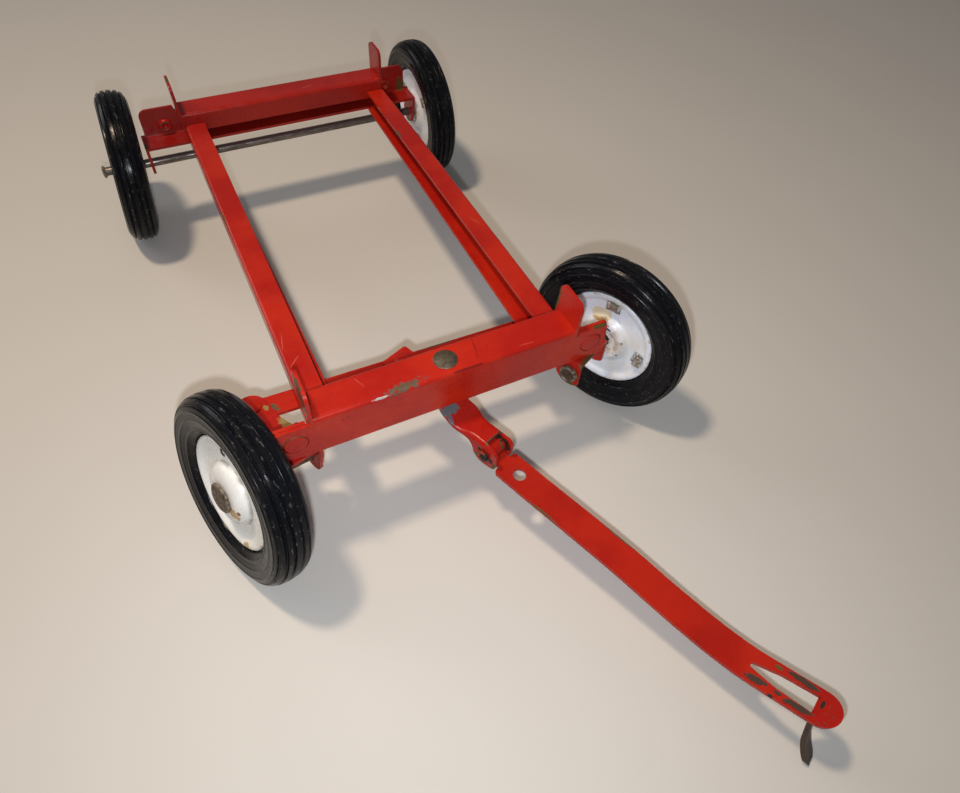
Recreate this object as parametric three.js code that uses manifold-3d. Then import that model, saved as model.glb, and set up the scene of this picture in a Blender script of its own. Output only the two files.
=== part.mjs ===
// Toy farm-wagon running gear in pressed steel: a ladder frame of two stake bolsters and two
// channel rails, a solid rear axle, parallelogram front steering and a drawbar with a drop hook.
//
// Millimetres. X points to the right, Y to the rear and Z up. The group's origin is on the floor
// under the centre of the model's box. The front wheels are at rest steered towards +X.
import * as THREE from "three";
import { mergeVertices } from "three/addons/utils/BufferGeometryUtils.js";
import Module from "manifold-3d";

const wasm = await Module();
wasm.setup();

// ---- Driving dimensions -------------------------------------------------------------------

const SHEET = 1.0; // frame sheet
const STRIP = 1.2; // steering and drawbar strip

// Bolsters: the same stamping at both ends, its outer wall towards the end of the wagon. The
// stake ears were bent up at slightly different places, so each end has its own reach, and the
// tabs and their rivets at the rear are shifted a little.
const BOLSTER_OUT = 80.9; // outer wall's face, from the frame's centre
const BOLSTER_IN = 70.5; // inner wall's face
const BOLSTER_TOP = 46.8;
const FRONT_EARS = { left: 39.4, right: 38.2, top: 55.9, shift: 0 };
const REAR_EARS = { left: 40.2, right: 38.4, top: 57.6, shift: -1.6 };
const BOLSTER_SKIRT = 33.5; // bottom of the outer wall
const BOLSTER_INNER_SKIRT = 39.7; // bottom of the inner wall
const BEND = 1.5; // outside radius of its long bends
const TAB_HALF = 48.5; // half length of the outer wall with its end tabs
const TAB_TOP = 45.3;
const TAB_GAP = 0.8; // between an ear and the tab beside it
const EAR_INSET = 0.4; // from an ear's outer face to the end of the top
const EAR_BACK = 69.9;
const EAR_FRONT = 80.9;
const EAR_ROUND_BACK = 2.2;
const EAR_ROUND_FRONT = 2.8;
const TAB_RIVET = { x: 43.8, z: 39.6 };

// Rails: C channels with their webs outside.
const RAIL_OUT = 39.2;
const RAIL_TOP = 42.4;
const RAIL_BOTTOM = 34.5;
const RAIL_FLANGE = 7.2;
const RAIL_FOOT_FRONT = 9.5; // lower flange's width at the front
const RAIL_FOOT_REAR = 7.3; // and at the rear

// Front bracket, behind the front bolster's outer wall: it carries the kingpins.
const FRONT_BRACKET_HALF = 49;
const FRONT_LIP_TOP = 45.5;
const UNDER_EARS = 44.1; // top of both brackets' plates between their lips
const FRONT_LEDGE = 34.7; // underside of its ledge
const FRONT_LEDGE_BACK = 72.5;
const PIVOT_Y = -75.7; // centre rivet and kingpins
const KINGPIN_X = 44.5;

// Rear bracket: it carries the rear axle in two turned-down ears.
const REAR_LEDGE_ENDS = [-55, 52.8];
const REAR_PLATE_ENDS = [-53.5, 50.9];
const REAR_PLATE_TOP = 46.3;
const REAR_LEDGE = 35;
const REAR_LEDGE_FRONT = 70.9;
const AXLE = { y: 76.9, z: 27.03, r: 1.55, left: -72.2, right: 63.6 };
const AXLE_EAR_ROUND = 4.2;

// Steering.
const REST_STEER = THREE.MathUtils.degToRad(22);
const ARM = 16.8; // centre rivet to the tie rod's middle pin
const CRANK_TOP = 33.1; // top of the bell crank and of the knuckles' webs
const ROD_TOP = 31.4; // top of the tie rod, below them
const ROD_HALF = 3.4;
const ROD_SKEW = THREE.MathUtils.degToRad(-1); // the rod's own turn, in its worn holes
const PIN_HOLE = 1.7;
const WORN_HOLE = 2.1; // in the knuckles' arms
const PIN = 1.4;
const CLEVIS = { v: -18.4, z: 23.7, inner: 2.6, outer: 3.7 }; // drawbar pin and its two ears

// Knuckles: each stands at its own angle, from wear. Their flanges are square to the stub axle.
const KNUCKLE_IN = { left: 5.8, right: 7.2 }; // inboard flange's face, from the kingpin
const KNUCKLE_OUT = 8; // outboard flange's face
const KNUCKLE_HALF = 5.5;
const KNUCKLE_ARM_HALF = 4.1;

// Drawbar, along the direction away from the centre rivet. r is measured from that rivet.
const BAR_HALF = 4.5;
const NECK_HALF = 2.4;
const SHOULDER_R = 23.1;
const BAR_HOLE = { r: 28.8, radius: 1.95 };
const SLOT = { from: 103.1, middle: 110, to: 118.7, narrow: 0.8, waist: 2.0, wide: 2.4 };
const NOSE_R = 124.1;
const BAR_TOP = [ // r, height of the upper face
  [23, 21.1], [28, 20.7], [35, 20.2], [50, 19.4], [65, 18.3], [80, 16.3], [92, 15.4],
  [98, 15.5], [103, 16.0], [112, 18.2], [120, 20.3], [126, 21.9],
];
const LEG = [ // r, height of the hook leg's middle line
  [118.9, 19.9], [119.9, 15.6], [121.1, 11.4], [122.1, 8.2], [123.2, 5.9], [124.5, 3.7],
  [125.7, 2.0], [127, 0.1],
];
const LEG_HALF = 2.1;
const HOOK_LEAN = THREE.MathUtils.degToRad(10);

// Wheels. h is measured along the axle, outwards from the wheel's middle.
const TYRE_R = 27;
const BORE = 2.25;
const STUB_R = 1.55;
const STUB_HEAD_R = 2.9;

// ---- Materials ----------------------------------------------------------------------------

const paint = (color, roughness) =>
  new THREE.MeshStandardMaterial({ color, roughness, metalness: 0 });
const metal = (color, roughness) =>
  new THREE.MeshStandardMaterial({ color, roughness, metalness: 1 });
const RED = paint(0xb5301f, 0.3);
const WHITE = paint(0xdedbd2, 0.4);
const RUBBER = paint(0x232323, 0.75);
const BARE = metal(0x8f7a4a, 0.45);
const DARK = metal(0x5b564e, 0.5);

// ---- Solids -------------------------------------------------------------------------------

// A closed three.js geometry as a manifold-3d solid.
function solidOf(geometry) {
  const bare = geometry.clone();
  bare.deleteAttribute("normal");
  bare.deleteAttribute("uv");
  const merged = mergeVertices(bare, 1e-4);
  const corners = merged.index.array;
  const kept = [];
  for (let i = 0; i < corners.length; i += 3) {
    const [a, b, c] = [corners[i], corners[i + 1], corners[i + 2]];
    if (a !== b && b !== c && c !== a) kept.push(a, b, c);
  }
  return new wasm.Manifold(new wasm.Mesh({
    numProp: 3,
    vertProperties: new Float32Array(merged.attributes.position.array),
    triVerts: new Uint32Array(kept),
  }));
}

// A manifold-3d solid as a three.js geometry.
function geometryOf(solid) {
  const mesh = solid.getMesh();
  const geometry = new THREE.BufferGeometry();
  geometry.setAttribute("position", new THREE.BufferAttribute(mesh.vertProperties, 3));
  geometry.setIndex(new THREE.BufferAttribute(mesh.triVerts, 1));
  geometry.computeVertexNormals();
  return geometry;
}

const joined = (first, ...rest) => rest.reduce((all, one) => all.add(one), first);
const cut = (from, ...tools) => tools.reduce((left, tool) => left.subtract(tool), from);

// A closed outline from a list of points.
const outline = (points) => new THREE.Shape(points.map(([x, y]) => new THREE.Vector2(x, y)));

// Prisms of an outline: along Z from its X-Y outline, along X from Y-Z, along Y from X-Z.
function alongZ(shape, low, high, curveSegments = 8) {
  const g = new THREE.ExtrudeGeometry(shape, {
    depth: high - low, bevelEnabled: false, curveSegments,
  });
  return g.translate(0, 0, low);
}
function alongX(shape, low, high, curveSegments = 8) {
  const turn = new THREE.Matrix4().makeBasis(
    new THREE.Vector3(0, 1, 0), new THREE.Vector3(0, 0, 1), new THREE.Vector3(1, 0, 0));
  return alongZ(shape, low, high, curveSegments).applyMatrix4(turn);
}
function alongY(shape, low, high, curveSegments = 8) {
  return alongZ(shape, -high, -low, curveSegments).rotateX(Math.PI / 2);
}

// A box between two corners.
function block([x0, y0, z0], [x1, y1, z1]) {
  return solidOf(new THREE.BoxGeometry(x1 - x0, y1 - y0, z1 - z0)
    .translate((x0 + x1) / 2, (y0 + y1) / 2, (z0 + z1) / 2));
}

// A turned solid about Z from its [radius, height] profile, closed or ending on the axis.
function turned(profile, segments = 16) {
  const points = profile.map(([r, h]) => new THREE.Vector2(r, h));
  return solidOf(new THREE.LatheGeometry(points, segments).rotateX(Math.PI / 2));
}
const rod = (r, low, high, segments = 12) =>
  turned([[0, low], [r, low], [r, high], [0, high]], segments);

// The same turned solid laid along X or Y.
const layX = (solid) => solid.rotate([0, 90, 0]);
const layY = (solid) => solid.rotate([-90, 0, 0]);

function named(name, solid, material) {
  const mesh = new THREE.Mesh(geometryOf(solid), material);
  mesh.name = name;
  return mesh;
}

// ---- Frame --------------------------------------------------------------------------------

// A bolster in its front position, with the given reach to its left and right stake ears.
function bolster(ears) {
  const [o, i, t, s] = [-BOLSTER_OUT, -BOLSTER_IN, BOLSTER_TOP, SHEET];
  const k = BEND * 0.35;
  const channel = outline([
    [o, BOLSTER_SKIRT], [o + s, BOLSTER_SKIRT], [o + s, t - s], [i - s, t - s],
    [i - s, BOLSTER_INNER_SKIRT], [i, BOLSTER_INNER_SKIRT], [i, t - BEND], [i - k, t - k],
    [i - BEND, t], [o + BEND, t], [o + k, t - k], [o, t - BEND],
  ]);
  const body = solidOf(alongX(channel, EAR_INSET - ears.left, ears.right - EAR_INSET));
  const [end0, end1] = [ears.shift - TAB_HALF, ears.shift + TAB_HALF];
  const wall = outline([
    [end0 - 0.6, BOLSTER_SKIRT], [end1 + 0.6, BOLSTER_SKIRT], [end1, TAB_TOP - 0.7],
    [end1 - 0.7, TAB_TOP], [ears.right + TAB_GAP, TAB_TOP], [ears.right + TAB_GAP, TAB_TOP - 1],
    [-ears.left - TAB_GAP, TAB_TOP - 1], [-ears.left - TAB_GAP, TAB_TOP], [end0 + 0.7, TAB_TOP],
    [end0, TAB_TOP - 0.7],
  ]);
  const tabs = solidOf(alongY(wall, o, o + s));
  const stake = new THREE.Shape();
  stake.moveTo(-EAR_FRONT, TAB_TOP - 1);
  stake.lineTo(-EAR_BACK, TAB_TOP - 1);
  stake.absarc(-EAR_BACK - EAR_ROUND_BACK, ears.top - EAR_ROUND_BACK, EAR_ROUND_BACK, 0,
    Math.PI / 2, false);
  stake.absarc(-EAR_FRONT + EAR_ROUND_FRONT, ears.top - EAR_ROUND_FRONT, EAR_ROUND_FRONT,
    Math.PI / 2, Math.PI, false);
  const pair = [-ears.left, ears.right - s].map((x) => solidOf(alongX(stake, x, x + s, 6)));
  const holes = [-1, 1].map((side) =>
    layY(rod(3.5, -3, 3, 16)).translate([side * TAB_RIVET.x + ears.shift, o, TAB_RIVET.z]));
  return cut(joined(body, tabs, ...pair), ...holes);
}

// The rear bolster is turned half round, so that its own left is on the wagon's right.
const rearBolster = () => bolster({
  left: REAR_EARS.right, right: REAR_EARS.left, top: REAR_EARS.top, shift: -REAR_EARS.shift,
}).rotate([0, 0, 180]);

function rail(side) {
  const [y0, y1] = [-BOLSTER_IN, BOLSTER_IN];
  const out = RAIL_OUT;
  const web = block([out - SHEET, y0, RAIL_BOTTOM], [out, y1, RAIL_TOP]);
  const top = block([out - RAIL_FLANGE, y0, RAIL_TOP - SHEET], [out, y1, RAIL_TOP]);
  const foot = solidOf(alongZ(outline([
    [out, y0], [out, y1], [out - RAIL_FOOT_REAR, y1], [out - RAIL_FOOT_FRONT, y0],
  ]), RAIL_BOTTOM, RAIL_BOTTOM + SHEET));
  // The web's lower half runs on to the brackets, over their ledges and under the bolsters.
  const front = block([out - SHEET, -78.9, FRONT_LEDGE + SHEET], [out, y0 + 1, 39.4]);
  const rear = block([out - SHEET, y1 - 1, REAR_LEDGE + SHEET], [out, 78.9, 39.4]);
  const right = joined(web, top, foot, front, rear);
  return side > 0 ? right : right.mirror([1, 0, 0]);
}

function frontBracket() {
  const [y, z] = [1 - BOLSTER_OUT, FRONT_LEDGE];
  const section = outline([
    [y, z + 0.6], [y + 0.6, z], [-FRONT_LEDGE_BACK, z], [-FRONT_LEDGE_BACK, z + SHEET],
    [y + SHEET, z + SHEET], [y + SHEET, UNDER_EARS], [y, UNDER_EARS],
  ]);
  const half = FRONT_BRACKET_HALF;
  const angle = solidOf(alongX(section, -half, half));
  const pins = [-KINGPIN_X, 0, KINGPIN_X].map((x) =>
    rod(PIN_HOLE, 30, 40).translate([x, PIVOT_Y, 0]));
  const rivets = [-1, 1].map((side) =>
    layY(rod(PIN_HOLE, -3, 3)).translate([side * TAB_RIVET.x, y, TAB_RIVET.z]));
  const lips = [[-half, -FRONT_EARS.left - TAB_GAP], [FRONT_EARS.right + TAB_GAP, half]];
  const lip = lips.map(([x0, x1]) =>
    block([x0, y, FRONT_LIP_TOP - 2], [x1, y + SHEET, FRONT_LIP_TOP]));
  return cut(joined(angle, ...lip), ...pins, ...rivets);
}

function rearBracket() {
  const [y1, z, top] = [BOLSTER_OUT - 1, REAR_LEDGE, REAR_PLATE_TOP];
  const [left, right] = REAR_LEDGE_ENDS;
  const [edge, far] = REAR_PLATE_ENDS;
  const [in0, in1] = [-REAR_EARS.left - TAB_GAP, REAR_EARS.right + TAB_GAP];
  const ledge = block([left, REAR_LEDGE_FRONT, z], [right, y1, z + SHEET]);
  const plate = solidOf(alongY(outline([
    [edge, z], [far, z], [far, top - 3], [far - 3, top], [in1, top], [in1, UNDER_EARS],
    [in0, UNDER_EARS], [in0, top], [edge + 3, top], [edge, top - 3],
  ]), y1 - SHEET, y1));
  const ear = new THREE.Shape();
  ear.moveTo(REAR_LEDGE_FRONT, z + SHEET);
  ear.lineTo(AXLE.y - AXLE_EAR_ROUND, AXLE.z);
  ear.absarc(AXLE.y, AXLE.z, AXLE_EAR_ROUND, Math.PI, 2 * Math.PI, false);
  ear.lineTo(y1, z + SHEET);
  const ears = [left, right - SHEET].map((x) => solidOf(alongX(ear, x, x + SHEET, 12)));
  const bore = layX(rod(AXLE.r + 0.3, -60, 60)).translate([0, AXLE.y, AXLE.z]);
  const rivets = [-1, 1].map((side) => layY(rod(PIN_HOLE, -3, 3))
    .translate([side * TAB_RIVET.x + REAR_EARS.shift, y1, TAB_RIVET.z]));
  return cut(joined(ledge, plate, ...ears), bore, ...rivets);
}

// A tab rivet along +Y, its flush head outside at y = 0 and its tail inside.
function tabRivet() {
  return layY(turned([
    [0, -0.3], [2.6, -0.3], [3.2, 0], [3.2, 1.0], [PIN, 1.0], [PIN, 2.0], [2.4, 2.0],
    [1.9, 2.8], [0, 3.2],
  ]));
}

// The centre rivet: a domed head on the front bolster, and its tail under the bell crank.
const centreRivet = turned([
  [0, 30.4], [1.8, 30.5], [2.3, 31.2], [2.3, 31.6], [PIN, 31.6], [PIN, BOLSTER_TOP],
  [3.4, BOLSTER_TOP], [3.2, 47.3], [2.1, 47.8], [0, 48],
]);
const kingpin = turned([
  [0, 30.9], [1.7, 30.9], [2.2, 31.3], [2.2, 31.6], [PIN, 31.6], [PIN, 35.7], [2.6, 35.7],
  [2.0, 36.6], [0, 36.9],
]);
const washer = turned([
  [PIN_HOLE, 33.4], [3.6, 33.4], [3.6, FRONT_LEDGE], [PIN_HOLE, FRONT_LEDGE],
  [PIN_HOLE, 33.4],
]);

// ---- Steering -----------------------------------------------------------------------------

// The bell crank in its own frame: the origin is under the centre rivet and +Y runs to the rear.
// Its front plate drops to the clevis, whose two ears hang from the plate's edges.
function bellCrank() {
  const [t, s] = [CRANK_TOP, STRIP];
  const rear = cut(
    block([-5.2, -2.6, t - s], [4.1, 20.7, t]),
    rod(PIN_HOLE, 30, 35), rod(PIN_HOLE, 30, 35).translate([0, ARM, 0]));
  const drop = solidOf(alongX(outline([
    [-2.4, t], [-3, t], [-5, 31], [-7.5, 29.3], [-9.5, 28.4], [-18.2, 28.4], [-18.2, 27.2],
    [-9.2, 27.2], [-6.9, 28.2], [-4.2, 30.1], [-2.4, t - s],
  ]), -8, 8));
  const half = CLEVIS.outer;
  const plan = solidOf(alongZ(outline([
    [-5.2, -2], [-5.2, -8.4], [-4.6, -10], [-half, -13.5], [-half, -19], [half, -19],
    [half, -13], [4.4, -9.7], [4.6, -7.7], [3.9, -5.7], [4.1, -2],
  ]), 26, 34));
  const ear = outline([
    [-18.2, 28.4], [-21.1, 27.6], [-22.3, 26.6], [-23, 25.3], [-22.9, 23.2], [-22.2, 20.3],
    [-16.5, 19.6], [-14.6, 21.5], [-14.2, 23.4], [-13, 25.4], [-11.5, 26.5], [-9.5, 27.4],
  ]);
  const ears = [[-CLEVIS.outer, -CLEVIS.inner], [CLEVIS.inner, CLEVIS.outer]]
    .map(([u0, u1]) => solidOf(alongX(ear, u0, u1)));
  const bore = layX(rod(PIN_HOLE, -8, 8)).translate([0, CLEVIS.v, CLEVIS.z]);
  return cut(joined(rear, drop.intersect(plan), ...ears), bore);
}

// A steering knuckle for one side in its own frame: the origin is on the kingpin, +Y runs along
// the arm to the rear, and its stub axle crosses the two flanges along the given line. The hole
// in its arm is at the given place.
function knuckle(side, stub, hole) {
  const [t, s, n] = [CRANK_TOP, STRIP, KNUCKLE_HALF];
  const [u, v, half] = [side * hole.x, hole.y, KNUCKLE_ARM_HALF];
  const inner = side > 0 ? KNUCKLE_IN.right : KNUCKLE_IN.left;
  const plan = new THREE.Shape();
  plan.moveTo(-inner, -n);
  plan.lineTo(KNUCKLE_OUT, -n);
  plan.lineTo(KNUCKLE_OUT, n);
  plan.lineTo(u + half + 1.2, n);
  plan.lineTo(u + half, 9);
  plan.lineTo(u + half, v);
  plan.absarc(u, v, half, 0, Math.PI, false);
  plan.lineTo(u - half, 9);
  plan.lineTo(u - half - 1.2, n);
  plan.lineTo(-inner, n);
  const web = solidOf(alongZ(plan, t - s, t, 8));
  const flange = (u0, u1) => {
    const { v: at, z } = stub.at((u0 + u1) / 2);
    const shape = new THREE.Shape();
    shape.moveTo(-n, t);
    shape.lineTo(-n, t - 2.5);
    shape.lineTo(at - 5, z);
    shape.absarc(at, z, 5, Math.PI, 2 * Math.PI, false);
    shape.lineTo(n, t - 2.5);
    shape.lineTo(n, t);
    return solidOf(alongX(shape, u0, u1, 8));
  };
  const whole = side > 0
    ? joined(web, flange(-inner, 1 - inner), flange(KNUCKLE_OUT - 1, KNUCKLE_OUT))
    : joined(web.mirror([1, 0, 0]), flange(inner - 1, inner),
      flange(-KNUCKLE_OUT, 1 - KNUCKLE_OUT));
  return cut(whole, rod(PIN_HOLE, 30, 35),
    rod(WORN_HOLE, 30, 35, 16).translate([hole.x, hole.y, 0]), stub.bore());
}

// ---- Drawbar ------------------------------------------------------------------------------

// The drawbar in the bell crank's frame, running along -Y.
function drawbar() {
  const upper = BAR_TOP.map(([r, z]) => [-r, z]);
  const lower = BAR_TOP.map(([r, z]) => [-r, z - STRIP]).reverse();
  const strip = solidOf(alongX(outline([...upper, ...lower].reverse()), -BAR_HALF, BAR_HALF));
  const plan = new THREE.Shape();
  plan.moveTo(NECK_HALF, -20);
  plan.lineTo(-NECK_HALF, -20);
  plan.lineTo(-NECK_HALF, -SHOULDER_R);
  plan.lineTo(-BAR_HALF + 0.4, -SHOULDER_R);
  plan.lineTo(-BAR_HALF, -SHOULDER_R - 0.6);
  plan.lineTo(-BAR_HALF, -NOSE_R + BAR_HALF);
  plan.absarc(0, -NOSE_R + BAR_HALF, BAR_HALF, Math.PI, 2 * Math.PI, false);
  plan.lineTo(BAR_HALF, -SHOULDER_R - 0.6);
  plan.lineTo(BAR_HALF - 0.4, -SHOULDER_R);
  plan.lineTo(NECK_HALF, -SHOULDER_R);
  const blank = solidOf(alongZ(plan, 0, 40, 10));
  const hole = rod(BAR_HOLE.radius, 0, 40, 16).translate([0, -BAR_HOLE.r, 0]);
  const slot = solidOf(alongZ(outline([
    [-SLOT.narrow, -SLOT.from], [-SLOT.waist, -SLOT.middle], [-SLOT.wide, -SLOT.to],
    [SLOT.wide, -SLOT.to], [SLOT.waist, -SLOT.middle], [SLOT.narrow, -SLOT.from],
  ]), 0, 40));
  const bar = cut(strip.intersect(blank), hole, slot);

  // The neck's end is curled round the clevis pin.
  const turn = new THREE.Shape();
  turn.absarc(CLEVIS.v, CLEVIS.z, PIN_HOLE + STRIP, 0, 2 * Math.PI, false);
  const eye = new THREE.Path();
  eye.absarc(CLEVIS.v, CLEVIS.z, PIN_HOLE, 0, 2 * Math.PI, true);
  turn.holes.push(eye);
  const curl = solidOf(alongX(turn, -NECK_HALF, NECK_HALF, 10));
  const under = CLEVIS.z - PIN_HOLE;
  const neck = solidOf(alongX(outline([
    [CLEVIS.v, under - STRIP], [CLEVIS.v, under], [-21, 21.7], [-SHOULDER_R - 0.6, 21.0],
    [-SHOULDER_R - 0.6, 19.8], [-21, 20.5],
  ].reverse()), -NECK_HALF, NECK_HALF));

  // The hook leg is the metal of the slot, turned down from the slot's front end.
  const inFront = LEG.map(([r, z]) => [-r - STRIP / 2, z]);
  const behind = LEG.map(([r, z]) => [-r + STRIP / 2, z]).reverse();
  const side = solidOf(alongX(outline([...inFront, ...behind]), -6, 6));
  const front = new THREE.Shape();
  front.moveTo(-LEG_HALF, 24);
  front.lineTo(-LEG_HALF, 3);
  front.absarc(0, 2, LEG_HALF, Math.PI, 2 * Math.PI, false);
  front.lineTo(LEG_HALF, 24);
  const tongueLeg = side.intersect(solidOf(alongY(front, -140, -110)))
    .translate([0, 119, -19]).rotate([0, THREE.MathUtils.radToDeg(HOOK_LEAN), 0])
    .translate([0, -119, 19]);
  return joined(bar, curl, neck, tongueLeg);
}

const clevisPin = layX(turned([
  [0, -5.1], [1.4, -5.1], [1.9, -4.6], [1.9, -3.9], [PIN, -3.9], [PIN, 3.9], [1.9, 3.9],
  [1.7, 4.6], [0, 4.8],
], 12)).translate([0, CLEVIS.v, CLEVIS.z]);

// ---- Wheels -------------------------------------------------------------------------------

// The tyre, with its tread and shoulders in shallow ribs.
const tyre = turned([
  [15.8, 1.9], [15.8, -1.9], [16.8, -2.3], [16.8, -3.4], [19.2, -4.9], [23.3, -5.3],
  [25.3, -4.7], [26.6, -3.3], [TYRE_R, -1.6], [TYRE_R, 1.6], [26.6, 3.3], [25.3, 4.7],
  [23.3, 5.3], [19.2, 4.9], [16.8, 3.4], [16.8, 2.3], [15.8, 1.9],
], 24);

// The outer disc: a rim lip with its skirt, a dish and a domed hub, and three clinch tabs that
// reach through the inner disc's slots.
function outerDisc() {
  const disc = turned([
    [BORE, 4.3], [5.2, 4.3], [8.8, 1.4], [14.7, 1.4], [14.7, 0.15], [15.4, 0.15],
    [15.4, 2.7], [16.4, 2.7], [16.4, 3.3], [15.2, 3.4], [13.6, 2.0], [9.4, 2.0],
    [7.3, 4.3], [5.4, 5.0], [BORE, 5.0], [BORE, 4.3],
  ], 18);
  const tab = joined(
    block([11.4, -1.4, -3.7], [12.1, 1.4, 1.6]),
    block([11.4, -1.4, -3.7], [14.4, 1.4, -3.0]));
  return joined(disc, tab, tab.rotate([0, 0, 120]), tab.rotate([0, 0, 240]));
}

// The inner disc: the same rim, a flat with three slots, and a hub boss with a raised ring.
function innerDisc() {
  const disc = turned([
    [BORE, -3.6], [BORE, -2.9], [4.3, -2.9], [4.9, -3.5], [6.2, -3.5], [8.3, -1.5],
    [14.7, -1.5], [14.7, -0.15], [15.4, -0.15], [15.4, -2.3], [16.4, -2.3], [16.4, -2.9],
    [15.2, -3.0], [13.6, -2.2], [8.8, -2.2], [6.6, -4.2], [4.8, -4.2], [4.0, -3.6],
    [BORE, -3.6],
  ].reverse(), 18);
  const slot = block([10.6, -2.5, -4], [14.1, 2.5, -1]);
  return cut(disc, slot, slot.rotate([0, 0, 120]), slot.rotate([0, 0, 240]));
}

// A wheel as a group of three meshes, its outer side towards +Z, to be turned into place.
function wheel(name, spin) {
  const group = new THREE.Group();
  group.add(
    named(name + "_tyre", tyre, RUBBER),
    named(name + "_outer_disc", outerDisc().rotate([0, 0, spin]), WHITE),
    named(name + "_inner_disc", innerDisc().rotate([0, 0, spin]), WHITE),
  );
  return group;
}

// Stands a wheel, or a stub axle, with +Z along the outward direction and +Y upwards.
function place(group, centre, outward) {
  const z = outward.clone().normalize();
  const x = new THREE.Vector3(0, 0, 1).cross(z).normalize();
  const y = z.clone().cross(x);
  group.matrix.makeBasis(x, y, z).setPosition(centre);
  group.matrix.decompose(group.position, group.quaternion, group.scale);
  return group;
}

// A stub axle lying along +Z, its flat outer head outside the wheel's hub and its inner head
// from the given distance inside the wheel's middle.
const stubAxle = (inner) => turned([
  [0, -inner - 1.2], [2.3, -inner - 1.2], [STUB_HEAD_R, -inner - 0.6], [STUB_HEAD_R, -inner],
  [STUB_R, -inner], [STUB_R, 5.3], [4.2, 5.3], [4.2, 5.9], [3.4, 6.3], [0, 6.3],
]);

// The line of a front stub axle, given in the frame of its knuckle.
function stubLine(centre, outward) {
  const along = (u) => centre.clone().addScaledVector(outward, (u - centre.x) / outward.x);
  return {
    at: (u) => ({ v: along(u).y, z: along(u).z }),
    bore: () => {
      const holder = place(new THREE.Object3D(), centre, outward);
      holder.updateMatrix();
      return rod(2.0, -26, 0, 16).transform(holder.matrix.toArray());
    },
  };
}

// ---- Assembly -----------------------------------------------------------------------------

const model = new THREE.Group();

const chassis = new THREE.Group();
chassis.add(
  named("front_bolster",
    cut(bolster(FRONT_EARS), rod(PIN_HOLE, 40, 50).translate([0, PIVOT_Y, 0])), RED),
  named("rear_bolster", rearBolster(), RED),
  named("left_rail", rail(-1), RED),
  named("right_rail", rail(1), RED),
  named("front_bracket", frontBracket(), RED),
  named("rear_bracket", rearBracket(), RED),
  named("centre_rivet", centreRivet.translate([0, PIVOT_Y, 0]), BARE),
  named("centre_washer", washer.translate([0, PIVOT_Y, 0]), BARE),
);
for (const [end, y, shift] of [["front", -1, FRONT_EARS.shift], ["rear", 1, REAR_EARS.shift]]) {
  for (const [name, x] of [["left", -1], ["right", 1]]) {
    const rivet = y < 0 ? tabRivet() : tabRivet().rotate([0, 0, 180]);
    chassis.add(named(`${end}_${name}_tab_rivet`,
      rivet.translate([x * TAB_RIVET.x + shift, y * BOLSTER_OUT, TAB_RIVET.z]), RED));
  }
}
for (const [name, x] of [["left", -1], ["right", 1]]) {
  const at = [x * KINGPIN_X, PIVOT_Y, 0];
  chassis.add(
    named(`${name}_kingpin`, kingpin.translate(at), BARE),
    named(`${name}_kingpin_washer`, washer.translate(at), BARE),
  );
}
model.add(chassis);

// A group that stands on a kingpin or on the centre rivet, turned by an angle.
function steered(x, angle, ...meshes) {
  const group = new THREE.Group();
  group.position.set(x, PIVOT_Y, 0);
  group.rotation.z = angle;
  group.add(...meshes);
  return group;
}
model.add(steered(0, REST_STEER,
  named("bell_crank", bellCrank(), RED),
  named("drawbar_pin", clevisPin, RED),
  named("drawbar", drawbar(), RED)));

const tieRod = new THREE.Group();
const rodShape = new THREE.Shape();
rodShape.absarc(-KINGPIN_X, 0, ROD_HALF, Math.PI / 2, Math.PI * 1.5, false);
rodShape.absarc(KINGPIN_X, 0, ROD_HALF, -Math.PI / 2, Math.PI / 2, false);
const rodHoles = [-KINGPIN_X, 0, KINGPIN_X].map((x) =>
  rod(PIN_HOLE, 29, 33).translate([x, 0, 0]));
const rodRivet = turned([
  [0, 29.1], [1.7, 29.1], [2.3, 29.5], [2.3, 29.9], [PIN, 29.9], [PIN, 33.4], [2.6, 33.4],
  [1.9, 34.1], [0, 34.15],
]);
tieRod.add(named("tie_rod",
  cut(solidOf(alongZ(rodShape, ROD_TOP - STRIP, ROD_TOP, 8)), ...rodHoles), RED));
for (const [name, x] of [["left", -KINGPIN_X], ["centre", 0], ["right", KINGPIN_X]])
  tieRod.add(named(`${name}_tie_rod_rivet`, rodRivet.translate([x, 0, 0]), RED));
tieRod.position.set(-ARM * Math.sin(REST_STEER), PIVOT_Y + ARM * Math.cos(REST_STEER), 0);
tieRod.rotation.z = ROD_SKEW;
model.add(tieRod);

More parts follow.
